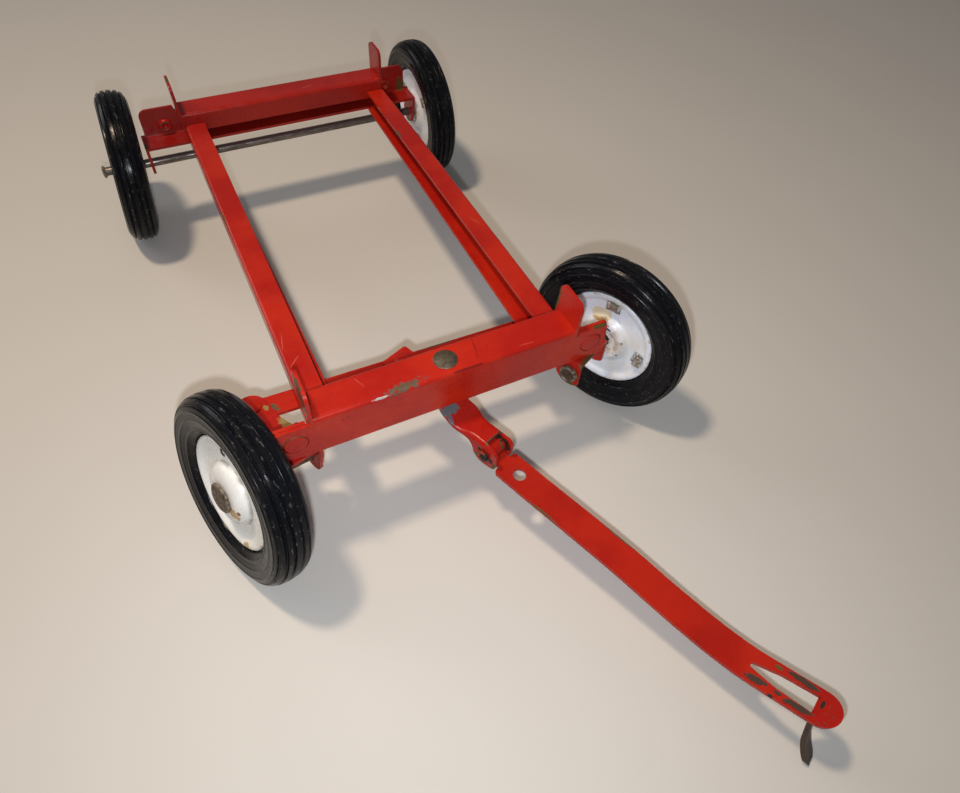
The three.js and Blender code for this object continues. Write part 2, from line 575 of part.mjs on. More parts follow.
// Front wheels. A knuckle's hole is at the end of the tie rod, wherever that end lies.
const FRONT = [
  { name: "left", side: -1, turn: 17, at: [-60.07, -78.98, 26.76], out: [-0.931, -0.285, 0.227],
    spin: 40 },
  { name: "right", side: 1, turn: 25.2, at: [59.87, -70.83, 27.04], out: [0.904, 0.425, -0.048],
    spin: 93 },
];
for (const { name, side, turn, at, out, spin } of FRONT) {
  const centre = new THREE.Vector3(...at);
  const outward = new THREE.Vector3(...out).normalize();
  const kingpinAt = new THREE.Vector3(side * KINGPIN_X, PIVOT_Y, 0);
  const up = new THREE.Vector3(0, 0, 1);
  const angle = THREE.MathUtils.degToRad(turn);
  const hole = new THREE.Vector3(side * KINGPIN_X, 0, 0).applyAxisAngle(up, ROD_SKEW)
    .add(tieRod.position).sub(kingpinAt).applyAxisAngle(up, -angle);
  const wheelAt = centre.clone().sub(kingpinAt).applyAxisAngle(up, -angle);
  const along = outward.clone().applyAxisAngle(up, -angle);
  model.add(steered(side * KINGPIN_X, angle,
    named(`${name}_knuckle`, knuckle(side, stubLine(wheelAt, along), hole), RED)));
  const reach = (KNUCKLE_IN[name] + Math.abs(wheelAt.x)) / Math.abs(along.x);
  const lift = STUB_HEAD_R * Math.abs(along.z / along.x);
  const axle = new THREE.Group();
  axle.add(named(`${name}_stub_axle`, stubAxle(reach + lift + 0.2), DARK));
  model.add(place(axle, centre, outward));
  model.add(place(wheel(`front_${name}`, spin), centre, outward));
}

// Rear axle and wheels. The wheels are loose on the axle and lean on it.
const rearAxle = turned([
  [0, AXLE.left], [1.9, AXLE.left], [2.35, AXLE.left + 0.3], [2.35, AXLE.left + 0.9],
  [AXLE.r, AXLE.left + 1.2], [AXLE.r, AXLE.right - 1.0], [2.35, AXLE.right - 0.7],
  [2.35, AXLE.right - 0.2], [1.9, AXLE.right], [0, AXLE.right],
], 16);
model.add(named("rear_axle", layX(rearAxle).translate([0, AXLE.y, AXLE.z]), DARK));
const REAR = [
  { name: "left", x: -63.3, out: [-0.9933, 0.0129, 0.1142], spin: 75 },
  { name: "right", x: 57.6, out: [0.9997, 0.0209, 0.010], spin: 20 },
];
for (const { name, x, out, spin } of REAR)
  model.add(place(wheel(`rear_${name}`, spin), new THREE.Vector3(x, AXLE.y, AXLE.z),
    new THREE.Vector3(...out)));

// The origin goes to the floor, under the centre of the model's box.
const box = new THREE.Box3().setFromObject(model, true);
model.position.set(-(box.min.x + box.max.x) / 2, -(box.min.y + box.max.y) / 2, -box.min.z);
const wagon = new THREE.Group();
wagon.add(model);

export default wagon;
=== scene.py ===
"""Looks of the toy farm-wagon running gear: detailed sheet-metal pieces, rivets, rubber tyres and
worn enamel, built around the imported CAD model. A piece is made in its own frame in millimetres and
keeps those coordinates in its "local" attribute, where its material finds them."""

import random
from math import asin, cos, dist, pi, radians, sin

import bmesh
import bpy
from mathutils import Matrix, Vector


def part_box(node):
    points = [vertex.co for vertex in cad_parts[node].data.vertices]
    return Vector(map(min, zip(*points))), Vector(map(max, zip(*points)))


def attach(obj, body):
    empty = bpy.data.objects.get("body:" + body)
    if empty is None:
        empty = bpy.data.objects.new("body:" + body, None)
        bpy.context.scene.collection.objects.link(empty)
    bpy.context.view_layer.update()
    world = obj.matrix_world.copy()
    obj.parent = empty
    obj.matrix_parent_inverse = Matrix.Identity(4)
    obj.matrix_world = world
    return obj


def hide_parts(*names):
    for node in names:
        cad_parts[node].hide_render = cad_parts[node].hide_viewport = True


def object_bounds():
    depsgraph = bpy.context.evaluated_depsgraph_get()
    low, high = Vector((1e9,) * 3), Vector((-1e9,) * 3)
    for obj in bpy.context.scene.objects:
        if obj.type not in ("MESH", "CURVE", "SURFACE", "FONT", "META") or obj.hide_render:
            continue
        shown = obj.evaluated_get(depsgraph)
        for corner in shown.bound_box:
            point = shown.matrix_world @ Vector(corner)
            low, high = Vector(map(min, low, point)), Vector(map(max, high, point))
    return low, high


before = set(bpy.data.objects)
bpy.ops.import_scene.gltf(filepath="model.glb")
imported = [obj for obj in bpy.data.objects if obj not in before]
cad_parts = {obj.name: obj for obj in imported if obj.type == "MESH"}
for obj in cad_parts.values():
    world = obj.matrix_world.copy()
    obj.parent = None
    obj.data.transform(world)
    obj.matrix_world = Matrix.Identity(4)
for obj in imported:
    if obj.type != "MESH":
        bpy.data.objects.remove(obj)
cad_bounds = [list(corner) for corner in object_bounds()]

MM = 0.001

# ---- Dimensions, as in the CAD part ----

SHEET = 1.0
STRIP = 1.2
BOLSTER_OUT, BOLSTER_IN, BOLSTER_TOP = 80.9, 70.5, 46.8
BOLSTER_SKIRT, BOLSTER_INNER_SKIRT = 33.5, 39.7
FRONT_EARS = {"left": 39.4, "right": 38.2, "top": 55.9, "shift": 0.0}
REAR_EARS = {"left": 40.2, "right": 38.4, "top": 57.6, "shift": -1.6}
TAB_HALF, TAB_TOP, TAB_GAP = 48.5, 45.3, 0.8
EAR_BACK, EAR_FRONT, EAR_ROUND_BACK, EAR_ROUND_FRONT = 69.9, 80.9, 2.2, 2.8
TAB_RIVET_X, TAB_RIVET_Z, RIVET_SEAT = 43.8, 39.6, 3.35
RAIL_OUT, RAIL_TOP, RAIL_BOTTOM, RAIL_FLANGE = 39.2, 42.4, 34.5, 7.2
RAIL_FOOT_FRONT, RAIL_FOOT_REAR, TONGUE_END, TONGUE_TOP = 9.5, 7.3, 78.9, 39.4
FRONT_LEDGE, FRONT_LEDGE_BACK, FRONT_BRACKET_HALF = 34.7, 72.5, 49.0
FRONT_LIP_TOP, UNDER_EARS = 45.5, 44.1
REAR_LEDGE, REAR_LEDGE_FRONT, REAR_PLATE_TOP = 35.0, 70.9, 46.3
REAR_LEDGE_ENDS, REAR_PLATE_ENDS = (-55.0, 52.8), (-53.5, 50.9)
PIVOT_Y, KINGPIN_X, ARM = -75.7, 44.5, 16.8
AXLE_Y, AXLE_Z, AXLE_R, AXLE_LEFT, AXLE_RIGHT = 76.9, 27.03, 1.55, -72.2, 63.6
AXLE_EAR_ROUND = 4.2
STEER, ROD_SKEW = radians(22), radians(-1)
KNUCKLE_TURN = {"left": radians(17), "right": radians(25.2)}
KNUCKLE_IN = {"left": 5.8, "right": 7.2}
KNUCKLE_OUT, KNUCKLE_HALF, KNUCKLE_ARM_HALF = 8.0, 5.5, 4.1
CRANK_TOP, ROD_TOP, ROD_HALF = 33.1, 31.4, 3.4
PIN, PIN_HOLE, WORN_HOLE = 1.4, 1.7, 2.1
CLEVIS_V, CLEVIS_Z, CLEVIS_INNER = -18.4, 23.7, 2.6
BAR_HALF, NECK_HALF, SHOULDER, NOSE = 4.5, 2.4, 23.1, 124.1
BAR_HOLE, BAR_HOLE_R = 28.8, 1.95
BAR_TOP = [(23, 21.1), (28, 20.7), (35, 20.2), (50, 19.4), (65, 18.3), (80, 16.3), (92, 15.4),
           (98, 15.5), (103, 16.0), (112, 18.2), (120, 20.3), (126, 21.9)]
LEG = [(118.9, 19.9), (119.9, 15.6), (121.1, 11.4), (122.1, 8.2), (123.2, 5.9), (124.5, 3.7),
       (125.7, 2.0), (127, 0.1)]
LEG_HALF, LEG_TURN_R, LEG_TURN_Z, HOOK_LEAN = 2.1, 119, 19, 10
BORE, STUB_R, STUB_HEAD_R = 2.25, 1.55, 2.9

# ---- Frames ----

# The right rail's box gives where the CAD part put the wagon's own axes.
rail_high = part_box("right_rail")[1]
SHIFT = rail_high - Vector((RAIL_OUT, TONGUE_END, RAIL_TOP)) * MM


def placed(x=0.0, y=0.0, z=0.0, turn=0.0):
    """The frame of a piece whose origin is at x, y, z and which is turned about Z."""
    return Matrix.Translation(SHIFT + Vector((x, y, z)) * MM) @ Matrix.Rotation(turn, 4, "Z")


def facing(centre, outward):
    """The frame of a wheel or stub axle: Z along its axle outwards, Y upwards."""
    z = Vector(outward).normalized()
    x = Vector((0, 0, 1)).cross(z).normalized()
    y = z.cross(x)
    turn = Matrix((x, y, z)).transposed().to_4x4()
    return Matrix.Translation(SHIFT + Vector(centre) * MM) @ turn


CRANK = placed(0, PIVOT_Y, 0, STEER)
ROD_AT = Vector((-sin(STEER) * ARM, PIVOT_Y + cos(STEER) * ARM, 0))
ROD = placed(*ROD_AT, ROD_SKEW)
WHEELS = {  # centre, outward axle direction, places of the clinch tabs in degrees
    "front_left": ((-60.07, -78.98, 26.76), (-0.931, -0.285, 0.227), (40, 160, 280)),
    "front_right": ((59.87, -70.83, 27.04), (0.904, 0.425, -0.048), (89, 188, 325)),
    "rear_left": ((-63.3, AXLE_Y, AXLE_Z), (-0.9933, 0.0129, 0.1142), (75, 195, 315)),
    "rear_right": ((57.6, AXLE_Y, AXLE_Z), (0.9997, 0.0209, 0.010), (20, 140, 260)),
}

# ---- Mesh making ----

AXES = {"X": lambda a, b, c: (c, a, b), "Y": lambda a, b, c: (a, c, b),
        "Z": lambda a, b, c: (a, b, c)}


def prism(points, axis, low, high):
    """A closed prism of an outline: along Z from X-Y points, X from Y-Z, Y from X-Z."""
    return loft([[AXES[axis](a, b, c) for a, b in points] for c in (low, high)])


def loft(sections):
    """A closed solid through sections that all have the same number of points."""
    bm = bmesh.new()
    rings = [[bm.verts.new(point) for point in section] for section in sections]
    bm.faces.new(rings[0])
    bm.faces.new(rings[-1])
    count = len(rings[0])
    for first, second in zip(rings, rings[1:]):
        for i in range(count):
            j = (i + 1) % count
            bm.faces.new((first[i], first[j], second[j], second[i]))
    bmesh.ops.recalc_face_normals(bm, faces=bm.faces)
    return bm


def block(low, high):
    return prism([(low[0], low[1]), (high[0], low[1]), (high[0], high[1]), (low[0], high[1])],
                 "Z", low[2], high[2])


def upright(side, points, low, high):
    """A plate of X-Z points between two Y places, on the right or for side -1 on the left."""
    return prism([(side * x, z) for x, z in points], "Y", low, high)


def arc(x, y, r, start, end, steps=10):
    """Points along an arc, in degrees."""
    angles = [radians(start + (end - start) * i / steps) for i in range(steps + 1)]
    return [(x + r * cos(a), y + r * sin(a)) for a in angles]


def smooth(points, steps):
    """A smooth line through points, by Catmull-Rom segments."""
    out = []
    last = len(points) - 1
    for i in range(last):
        around = (points[max(i - 1, 0)], points[i], points[i + 1], points[min(i + 2, last)])
        for k in range(steps):
            t = k / steps
            out.append(tuple(
                0.5 * (2 * b + (c - a) * t + (2 * a - 5 * b + 4 * c - d) * t * t
                       + (3 * b - a - 3 * c + d) * t ** 3)
                for a, b, c, d in zip(*around)))
    out.append(tuple(points[-1]))
    return out


def heading(line, i):
    """The direction of a line at one of its points."""
    before, after = line[max(i - 1, 0)], line[min(i + 1, len(line) - 1)]
    return Vector((after[0] - before[0], after[1] - before[1])).normalized()


def ribbon(line, thickness):
    """The outline of a strip of even thickness about a line."""
    one, other = [], []
    for i, (a, b) in enumerate(line):
        way = heading(line, i) * thickness / 2
        one.append((a + way.y, b - way.x))
        other.append((a - way.y, b + way.x))
    return one + other[::-1]


def turned(profile, segments=64):
    """A lathe about Z from [radius, height] points, closed on itself or ending on the axis."""
    bm = bmesh.new()
    rings = []
    for r, h in profile:
        angles = [2 * pi * i / segments for i in range(1 if r < 1e-6 else segments)]
        rings.append([bm.verts.new((r * cos(a), r * sin(a), h)) for a in angles])
    pairs = list(zip(rings, rings[1:]))
    if profile[0][0] > 1e-6:
        pairs.append((rings[-1], rings[0]))
    for low, high in pairs:
        for i in range(segments):
            j = (i + 1) % segments
            if len(low) == 1:
                bm.faces.new((low[0], high[i], high[j]))
            elif len(high) == 1:
                bm.faces.new((low[i], low[j], high[0]))
            else:
                bm.faces.new((low[i], low[j], high[j], high[i]))
    bmesh.ops.recalc_face_normals(bm, faces=bm.faces)
    return bm


def rod(r, low, high, segments=40):
    return turned([(0, low), (r, low), (r, high), (0, high)], segments)


def bored(r, low, high, x=0, y=0):
    """A step that drills an upright hole."""
    return ("DIFFERENCE", shifted(rod(r, low, high), x, y, 0))


def domed(r, rise, low):
    """Profile points of a dome of radius r that rises above a height, from its rim inwards."""
    big = (r * r + rise * rise) / (2 * rise)
    angles = [asin(r / big) * (1 - k / 6) for k in range(7)]
    return [(big * sin(a), low + rise - big + big * cos(a)) for a in angles]


def moved(bm, matrix):
    bmesh.ops.transform(bm, matrix=matrix, verts=bm.verts)
    return bm


def shifted(bm, x, y, z):
    return moved(bm, Matrix.Translation((x, y, z)))


def about(bm, degrees, axis):
    return moved(bm, Matrix.Rotation(radians(degrees), 4, axis))


def mirrored(bm):
    bmesh.ops.scale(bm, vec=(-1, 1, 1), verts=bm.verts)
    bmesh.ops.reverse_faces(bm, faces=bm.faces)
    return bm


def add(name, data):
    """Puts new object data into the scene."""
    obj = bpy.data.objects.new(name, data)
    bpy.context.scene.collection.objects.link(obj)
    return obj


def as_mesh(name, bm):
    mesh = bpy.data.meshes.new(name)
    bm.to_mesh(mesh)
    bm.free()
    return mesh


def solid(first, *steps):
    """Joins, cuts or keeps solids in turn: each step is ("UNION" | "DIFFERENCE" | "INTERSECT",
    bmesh). Returns a bmesh."""
    base = add("scratch", as_mesh("scratch", first))
    tools = []
    for kind, bm in steps:
        tool = add("scratch", as_mesh("scratch", bm))
        tools.append(tool)
        boolean = base.modifiers.new("step", "BOOLEAN")
        boolean.operation = kind
        boolean.solver = "EXACT"
        boolean.object = tool
    bpy.context.view_layer.update()
    shaped = base.evaluated_get(bpy.context.evaluated_depsgraph_get())
    out = bmesh.new()
    out.from_mesh(shaped.data)
    for obj in [base] + tools:
        mesh = obj.data
        bpy.data.objects.remove(obj)
        bpy.data.meshes.remove(mesh)
    bmesh.ops.remove_doubles(out, verts=out.verts, dist=1e-4)
    bmesh.ops.dissolve_limit(out, angle_limit=radians(0.5), verts=out.verts, edges=out.edges)
    return out


# Edges bent by more than the first are bevelled, by more than the second wear, and by more than
# the third are shaded sharp. A face narrower than the last counts as part of an edge.
BEVELLED, EXPOSED, CREASED = radians(30), radians(28), radians(50)
NARROW = 0.5


def piece(name, bm, matrix, body, node, material, bevel=0.2):
    """Turns a millimetre bmesh into a finished piece on a body, in place of a CAD node."""
    if bevel:
        edges = [e for e in bm.edges if len(e.link_faces) == 2 and e.calc_face_angle(0) > BEVELLED]
        bmesh.ops.bevel(bm, geom=edges, offset=bevel, segments=2, profile=0.5,
                        affect="EDGES", clamp_overlap=True)
    bm.normal_update()
    local = bm.verts.layers.float_vector.new("local")
    edge = bm.loops.layers.float.new("edge")
    for vert in bm.verts:
        vert[local] = vert.co
        if any(e.calc_face_angle_signed(0) > EXPOSED for e in vert.link_edges):
            for corner in vert.link_loops:
                face = corner.face
                # Only narrow faces along an edge wear; a broad face keeps its paint.
                corner[edge] = 2 * face.calc_area() < NARROW * face.calc_perimeter()
    moved(bm, matrix @ Matrix.Scale(MM, 4))
    mesh = as_mesh(name, bm)
    for polygon in mesh.polygons:
        polygon.use_smooth = True
    mesh.set_sharp_from_angle(angle=CREASED)
    mesh.materials.append(material)
    obj = add(name, mesh)
    weighted = obj.modifiers.new("normals", "WEIGHTED_NORMAL")
    weighted.keep_sharp = True
    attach(obj, body)
    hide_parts(node)


# ---- Materials ----

class Maker:
    """One material's nodes. They read a piece's own millimetres from its "local" attribute."""

    def __init__(self, name):
        self.material = bpy.data.materials.new(name)
        self.material.use_nodes = True
        self.tree = self.material.node_tree
        self.shader = self.tree.nodes["Principled BSDF"]
        self.place = self.node("Attribute", attribute_name="local")["Vector"]
        self.axes = self.node("SeparateXYZ", {0: self.place})
        self.edge = self.node("Attribute", attribute_name="edge")["Fac"]
        self.ragged = self.noise(0.9, detail=6, rough=0.62)

    def node(self, kind, inputs=(), **settings):
        """Makes a node and returns its outputs."""
        made = self.tree.nodes.new("ShaderNode" + kind)
        for key, value in settings.items():
            setattr(made, key, value)
        for socket, value in dict(inputs).items():
            if isinstance(value, bpy.types.NodeSocket):
                self.tree.links.new(value, made.inputs[socket])
            else:
                made.inputs[socket].default_value = value
        return made.outputs

    def noise(self, scale, detail=3, rough=0.55, at=None, stretch=None):
        """Noise of a number of features per millimetre."""
        at = at or self.place
        if stretch:
            at = self.node("Mapping", {"Vector": at, "Scale": stretch})[0]
        return self.node("TexNoise", {"Vector": at, "Scale": scale, "Detail": detail,
                                      "Roughness": rough})[0]

    def math(self, kind, a, b=0.0):
        return self.node("Math", {0: a, 1: b}, operation=kind)[0]

    def times(self, a, b):
        return self.math("MULTIPLY", a, b)

    def band(self, scale, low, high, start=0.0, end=1.0, **settings):
        """Noise of a scale, spread between two of its levels."""
        return self.ramp(self.noise(scale, **settings), low, high, start, end)

    def ramp(self, value, low, high, start=0.0, end=1.0):
        """Goes smoothly from start to end while the value goes from low to high."""
        return self.node("MapRange", {0: value, 1: low, 2: high, 3: start, 4: end},
                         interpolation_type="SMOOTHSTEP")[0]

    def mix(self, factor, a, b):
        """A mix of two colours, each a socket or red, green and blue."""
        a, b = (c if isinstance(c, bpy.types.NodeSocket) else (*c, 1.0) for c in (a, b))
        return self.node("Mix", {0: factor, 6: a, 7: b}, data_type="RGBA")[2]

    def blend(self, factor, a, b):
        """A mix of two numbers."""
        return self.node("Mix", {0: factor, 2: a, 3: b})[0]

    def spot(self, centre, radii, turn=0.0, ragged=0.9):
        """A ragged patch, 1 inside an ellipsoid turned about Z and 0 outside it."""
        inside = self.node("Mapping", {"Vector": self.place, "Location": centre, "Scale": radii,
                                       "Rotation": (0, 0, radians(turn))}, vector_type="TEXTURE")[0]
        reach = self.node("VectorMath", {0: inside}, operation="LENGTH")["Value"]
        rough = self.times(self.math("SUBTRACT", self.ragged, 0.5), 2 * ragged)
        return self.ramp(self.math("ADD", reach, rough), 1.08, 0.9)

    def lay_wear_and_shade(self, layers, depth, color, rough, bump, mottled=()):
        """Shows what is under the paint, or a painted shade or reflection mark, sunk by a depth, where
        each layer's mask is 1. The mottled kinds are olive in places. Returns colour, roughness,
        metallic and height."""
        metal = 0.0
        for kind, mask in layers:
            shade, dull, shine = WEAR_AND_SHADE[kind]
            if kind in mottled:
                shade = self.mix(self.ramp(self.ragged, 0.42, 0.6), shade, WEAR_AND_SHADE["olive"][0])
            color = self.mix(mask, color, shade)
            rough = self.blend(mask, rough, dull)
            metal = self.blend(mask, metal, shine)
            bump = self.math("SUBTRACT", bump, self.times(mask, depth))
        return color, rough, metal, bump

    def radius(self):
        """The distance from the piece's Z axis."""
        flat = self.node("VectorMath", {0: self.place, 1: (1, 1, 0)}, operation="MULTIPLY")[0]
        return self.node("VectorMath", {0: flat}, operation="LENGTH")["Value"]

    def finish(self, color, rough, metal=None, bump=None, strength=0.3, coat=0.0, specular=0.5):
        self.shader.inputs["Specular IOR Level"].default_value = specular
        self.feed("Base Color", color)
        self.feed("Roughness", rough)
        if metal is not None:
            self.feed("Metallic", metal)
        if coat:
            self.shader.inputs["Coat Weight"].default_value = coat
            self.shader.inputs["Coat Roughness"].default_value = 0.12
        if bump is not None:
            raised = {"Height": bump, "Strength": strength, "Distance": 0.15 * MM}
            self.feed("Normal", self.node("Bump", raised)[0])
        return self.material

    def feed(self, socket, value):
        self.tree.links.new(value, self.shader.inputs[socket])


# What shows where the paint has gone, or stains on it: colour, roughness, metallic. Some "dark" and
# "bare" marks are painted shade or a painted reflection instead.
WEAR_AND_SHADE = {
    "bare": ((0.095, 0.067, 0.05), 0.5, 0.3),
    "silver": ((0.52, 0.50, 0.48), 0.36, 0.5),
    "steel": ((0.14, 0.086, 0.07), 0.5, 0.2),
    "brown": ((0.062, 0.036, 0.025), 0.5, 0.15),
    "grey": ((0.13, 0.13, 0.145), 0.5, 0.3),
    "olive": ((0.115, 0.075, 0.022), 0.55, 0.25),
    "rust": ((0.20, 0.075, 0.018), 0.8, 0.0),
    "dark": ((0.022, 0.016, 0.013), 0.6, 0.1),
    "pale": ((0.56, 0.10, 0.06), 0.4, 0.0),
    "deep": ((0.20, 0.008, 0.006), 0.35, 0.0),
    "tan": ((0.27, 0.17, 0.05), 0.6, 0.1),
    "tab": ((0.24, 0.19, 0.14), 0.5, 0.3),
    "halo": ((0.68, 0.60, 0.43), 0.4, 0.0),
    "stain": ((0.46, 0.30, 0.13), 0.5, 0.0),
}

# White: its colour and the two radii of the worn ring about the hub.
WARM_WHITE = ((0.78, 0.77, 0.74), (3.8, 4.9))
COLD_WHITE = ((0.76, 0.81, 0.90), (5.0, 7.0))
RED_TOP = (0.47, 0.019, 0.006)
RED_LOW = (0.37, 0.010, 0.005)
RED_DUSTY = (0.38, 0.035, 0.02)
BAR_RED = ((0.33, 0.009, 0.004), (0.41, 0.015, 0.005))
CRIMSON = ((0.27, 0.009, 0.006), (0.36, 0.014, 0.008))


def enamel(part, marks=(), wear=0.5, tones=(RED_LOW, RED_TOP)):
    """Glossy red enamel: slight changes of tone, fine scratches, worn edges, tiny chips and the
    given marks: what shows, centre, radii and perhaps the turn and raggedness."""
    m = Maker(f"{part}_enamel")
    color = m.mix(m.band(0.045, 0.35, 0.65), *tones)
    color = m.mix(m.band(0.22, 0.5, 0.8, 0.0, 0.2, detail=7, rough=0.7), color, RED_DUSTY)
    along_x = m.band(1.3, 0.72, 0.78, detail=2, stretch=(0.25, 3.2, 3.2))
    along_y = m.band(1.1, 0.73, 0.79, detail=2, stretch=(3.4, 0.2, 3.4))
    scratches = m.math("MAXIMUM", along_x, along_y)
    color = m.mix(m.times(scratches, 0.3), color, WEAR_AND_SHADE["pale"][0])
    rough = m.band(0.3, 0.3, 0.75, 0.2, 0.38, detail=6)
    bump = m.times(m.noise(0.5, detail=2), 0.6)
    worn = m.math("ADD", m.times(m.edge, wear), m.noise(0.35, detail=6, rough=0.7))
    worn = m.times(m.ramp(worn, 0.93, 1.0), m.ramp(m.edge, 0.1, 0.5))
    layers = [("bare", worn), ("dark", m.band(0.8, 0.73, 0.745, rough=0.5))]
    layers += [(kind, m.spot(*place)) for kind, *place in marks]
    look = m.lay_wear_and_shade(layers, 1.0, color, rough, bump, ("bare", "steel", "olive"))
    return m.finish(*look, strength=0.35, coat=0.08, specular=0.22)


def white_enamel(name, marks, outer):
    """White enamel with rust and grime near the hub. The outer disc is warmer, darkened in a thin ring
    at the foot of its dome, partly grime and partly painted shade along the crease there, and its
    clinch tabs are bare where they come through to the inner side."""
    m = Maker(name)
    clean, hub = WARM_WHITE if outer else COLD_WHITE
    color = m.mix(m.band(0.12, 0.35, 0.7, detail=5), clean, (0.70, 0.69, 0.65))
    r = m.radius()
    low, high = hub
    grime = m.times(m.ramp(r, high + 2.6, low - 1.0),
                    m.band(0.35, 0.42, 0.66, detail=6, rough=0.7))
    color = m.mix(m.times(grime, 0.75), color, (0.36, 0.22, 0.10))
    specks = m.band(1.2, 0.735, 0.75, detail=4, rough=0.6)
    rim = m.times(m.ramp(r, 15.2, 16.2), m.band(0.5, 0.5, 0.62, detail=6))
    rough = m.band(0.5, 0.3, 0.7, 0.22, 0.42, detail=4)
    bump = m.times(m.noise(0.4, detail=2), 0.6)
    layers = [("dark", specks), ("stain", m.times(rim, 0.6))]
    if outer:
        # A thin dark ring at the foot of the dome: partly grime, partly painted shade marking the
        # crease.
        foot = m.times(m.ramp(r, 8.75, 9.05), m.ramp(r, 9.6, 9.15))
        layers.append(("bare", m.times(foot, m.band(0.3, 0.36, 0.6, 0.15, 0.6, detail=4))))
    else:
        ring = m.times(m.ramp(r, low - 0.3, low), m.ramp(r, high, high - 0.4))
        layers.append(("rust", m.times(ring, m.band(0.75, 0.61, 0.67, detail=6, rough=0.7))))
    layers += [(kind, m.spot(*place)) for kind, *place in marks]
    if outer:
        tabs = m.ramp(m.axes[2], -2.35, -2.7)
        layers += [("tab", tabs), ("silver", m.times(tabs, m.band(1.1, 0.52, 0.56)))]
    return m.finish(*m.lay_wear_and_shade(layers, 0.8, color, rough, bump), coat=0.2)


def rubber_tyre(name, seed):
    """Bluish-black rubber, glossy where it is rubbed, with dust, white specks and scuffs."""
    m = Maker(name)
    at = m.node("Mapping", {"Vector": m.place, "Location": (seed * 31.7, seed * 11.3, 0)})[0]
    color = m.band(0.15, 0.35, 0.7, detail=4, at=at)
    color = m.mix(color, (0.0045, 0.005, 0.007), (0.007, 0.007, 0.008))
    dusty = m.band(0.22, 0.58, 0.80, 0.0, 0.22, detail=8, rough=0.75, at=at)
    color = m.mix(dusty, color, (0.045, 0.044, 0.044))
    specks = m.band(1.5, 0.70, 0.73, detail=3, rough=0.6, at=at)
    # Scuffs run round the tyre: angle along it, then radius and height.
    angle = m.times(m.math("ARCTAN2", m.axes[1], m.axes[0]), 9.0 + seed * 0.1)
    around = {0: angle, 1: m.times(m.radius(), 1.5), 2: m.times(m.axes[2], 1.5)}
    around = m.node("CombineXYZ", around)[0]
    scuffs = m.band(1.0, 0.59, 0.66, detail=7, rough=0.72, at=around)
    color = m.mix(m.times(specks, 0.4), color, (0.30, 0.29, 0.28))
    color = m.mix(m.times(scuffs, 0.5), color, (0.17, 0.165, 0.155))
    rough = m.blend(dusty, m.band(0.6, 0.3, 0.7, 0.17, 0.28, detail=5, at=at), 0.42)
    bump = m.math("ADD", m.times(m.noise(1.6, detail=5, at=at), 0.8), m.times(scuffs, -0.8))
    return m.finish(color, rough, None, bump, strength=0.15, specular=0.13)


def old_metal(name, light, dark, rough, shine, grain=0.8, stretch=None):
    """Plated or plain steel, mottled with grime."""
    m = Maker(name)
    spread = m.band(grain, 0.36, 0.62, detail=7, rough=0.68, stretch=stretch)
    color = m.mix(spread, light, dark)
    worn = m.times(m.edge, m.band(0.9, 0.42, 0.55, detail=4))
    color = m.mix(m.times(worn, 0.6), color, (0.30, 0.26, 0.20))
    metal = m.blend(spread, shine, shine * 0.45)
    return m.finish(color, m.blend(spread, *rough), metal, m.noise(grain * 2, detail=5))


def pale_floor(name):
    """A plain pale floor with a faint unevenness of tone."""
    m = Maker(name)
    at = m.node("TexCoord")["Object"]
    color = m.mix(m.noise(6, detail=4, at=at), (0.58, 0.55, 0.50), (0.62, 0.59, 0.54))
    return m.finish(color, m.band(20, 0.3, 0.7, 0.8, 0.92, detail=3, at=at))


# Wear and stains that can be seen on single pieces, in their own millimetres, with a few marks of
# painted shade and painted reflection.
BOLSTER_MARKS = [
    ("silver", (-20.6, -80.6, 46.35), (2.4, 0.28, 0.4), 0, 1.0),
    ("steel", (-13.7, -79.8, 46.7), (5.0, 1.15, 1.2), 5, 1.9),
    ("deep", (4.2, -80.6, 46.4), (4.8, 0.35, 0.5), 0, 0.8),
    ("deep", (8.8, -74.7, 46.8), (0.16, 3.6, 0.6), -11, 0.8),
    ("pale", (-24.0, -73.8, 46.8), (0.08, 2.0, 0.5), 22, 0.5),
    ("pale", (22.4, -79.3, 46.8), (2.4, 0.07, 0.5), -4, 0.6),
    ("dark", (-31.1, -80.9, 43.3), (0.35, 0.5, 0.25), 0, 0.5),
    ("dark", (-29.7, -80.9, 43.4), (0.3, 0.5, 0.25), 0, 0.5),
    # Grey over the left stake's outer face: partly scraped metal, partly painted reflection of light
    # grazing that face.
    ("bare", (-39.4, -75.6, 53.0), (0.5, 4.6, 4.6), 0, 1.0),
    ("olive", (37.8, -70.0, 50.0), (1.0, 0.8, 4.4), 0, 0.8),
    ("olive", (46.3, -80.6, 45.3), (2.8, 0.8, 0.6), 0, 0.7),
    ("steel", (-47.9, -80.9, 35.0), (1.0, 0.6, 1.6), 0, 0.8),
]
LEFT_RAIL_MARKS = [
    ("pale", (-37.4, -48.2, 42.4), (0.1, 3.2, 0.5), -12, 0.7),
    ("pale", (-36.3, -56.4, 42.4), (0.11, 2.4, 0.5), -45, 0.7),
    ("olive", (-39.2, 12.0, 42.2), (0.5, 5.0, 0.5)),
    ("steel", (-39.2, 48.0, 34.7), (0.6, 4.0, 0.6)),
]
RIGHT_RAIL_MARKS = [
    ("pale", (35.6, -20.0, 42.4), (0.1, 2.6, 0.5), 25, 0.7),
    ("olive", (39.2, -31.0, 42.2), (0.5, 4.0, 0.5)),
    ("steel", (32.2, 38.0, 42.0), (0.5, 3.5, 0.6)),
]
REAR_BOLSTER_MARKS = [
    ("olive", (-40.0, 75.0, 57.3), (0.9, 2.4, 0.7), 0, 0.8),
    ("olive", (38.2, 79.5, 56.4), (0.9, 1.6, 1.4), 0, 0.8),
    ("steel", (-18.0, 80.7, 46.4), (5.0, 0.6, 0.7)),
    ("pale", (9.0, 74.5, 46.8), (2.8, 0.1, 0.5), 15, 0.7),
    ("steel", (26.0, 80.9, 33.7), (4.0, 0.6, 0.6)),
]
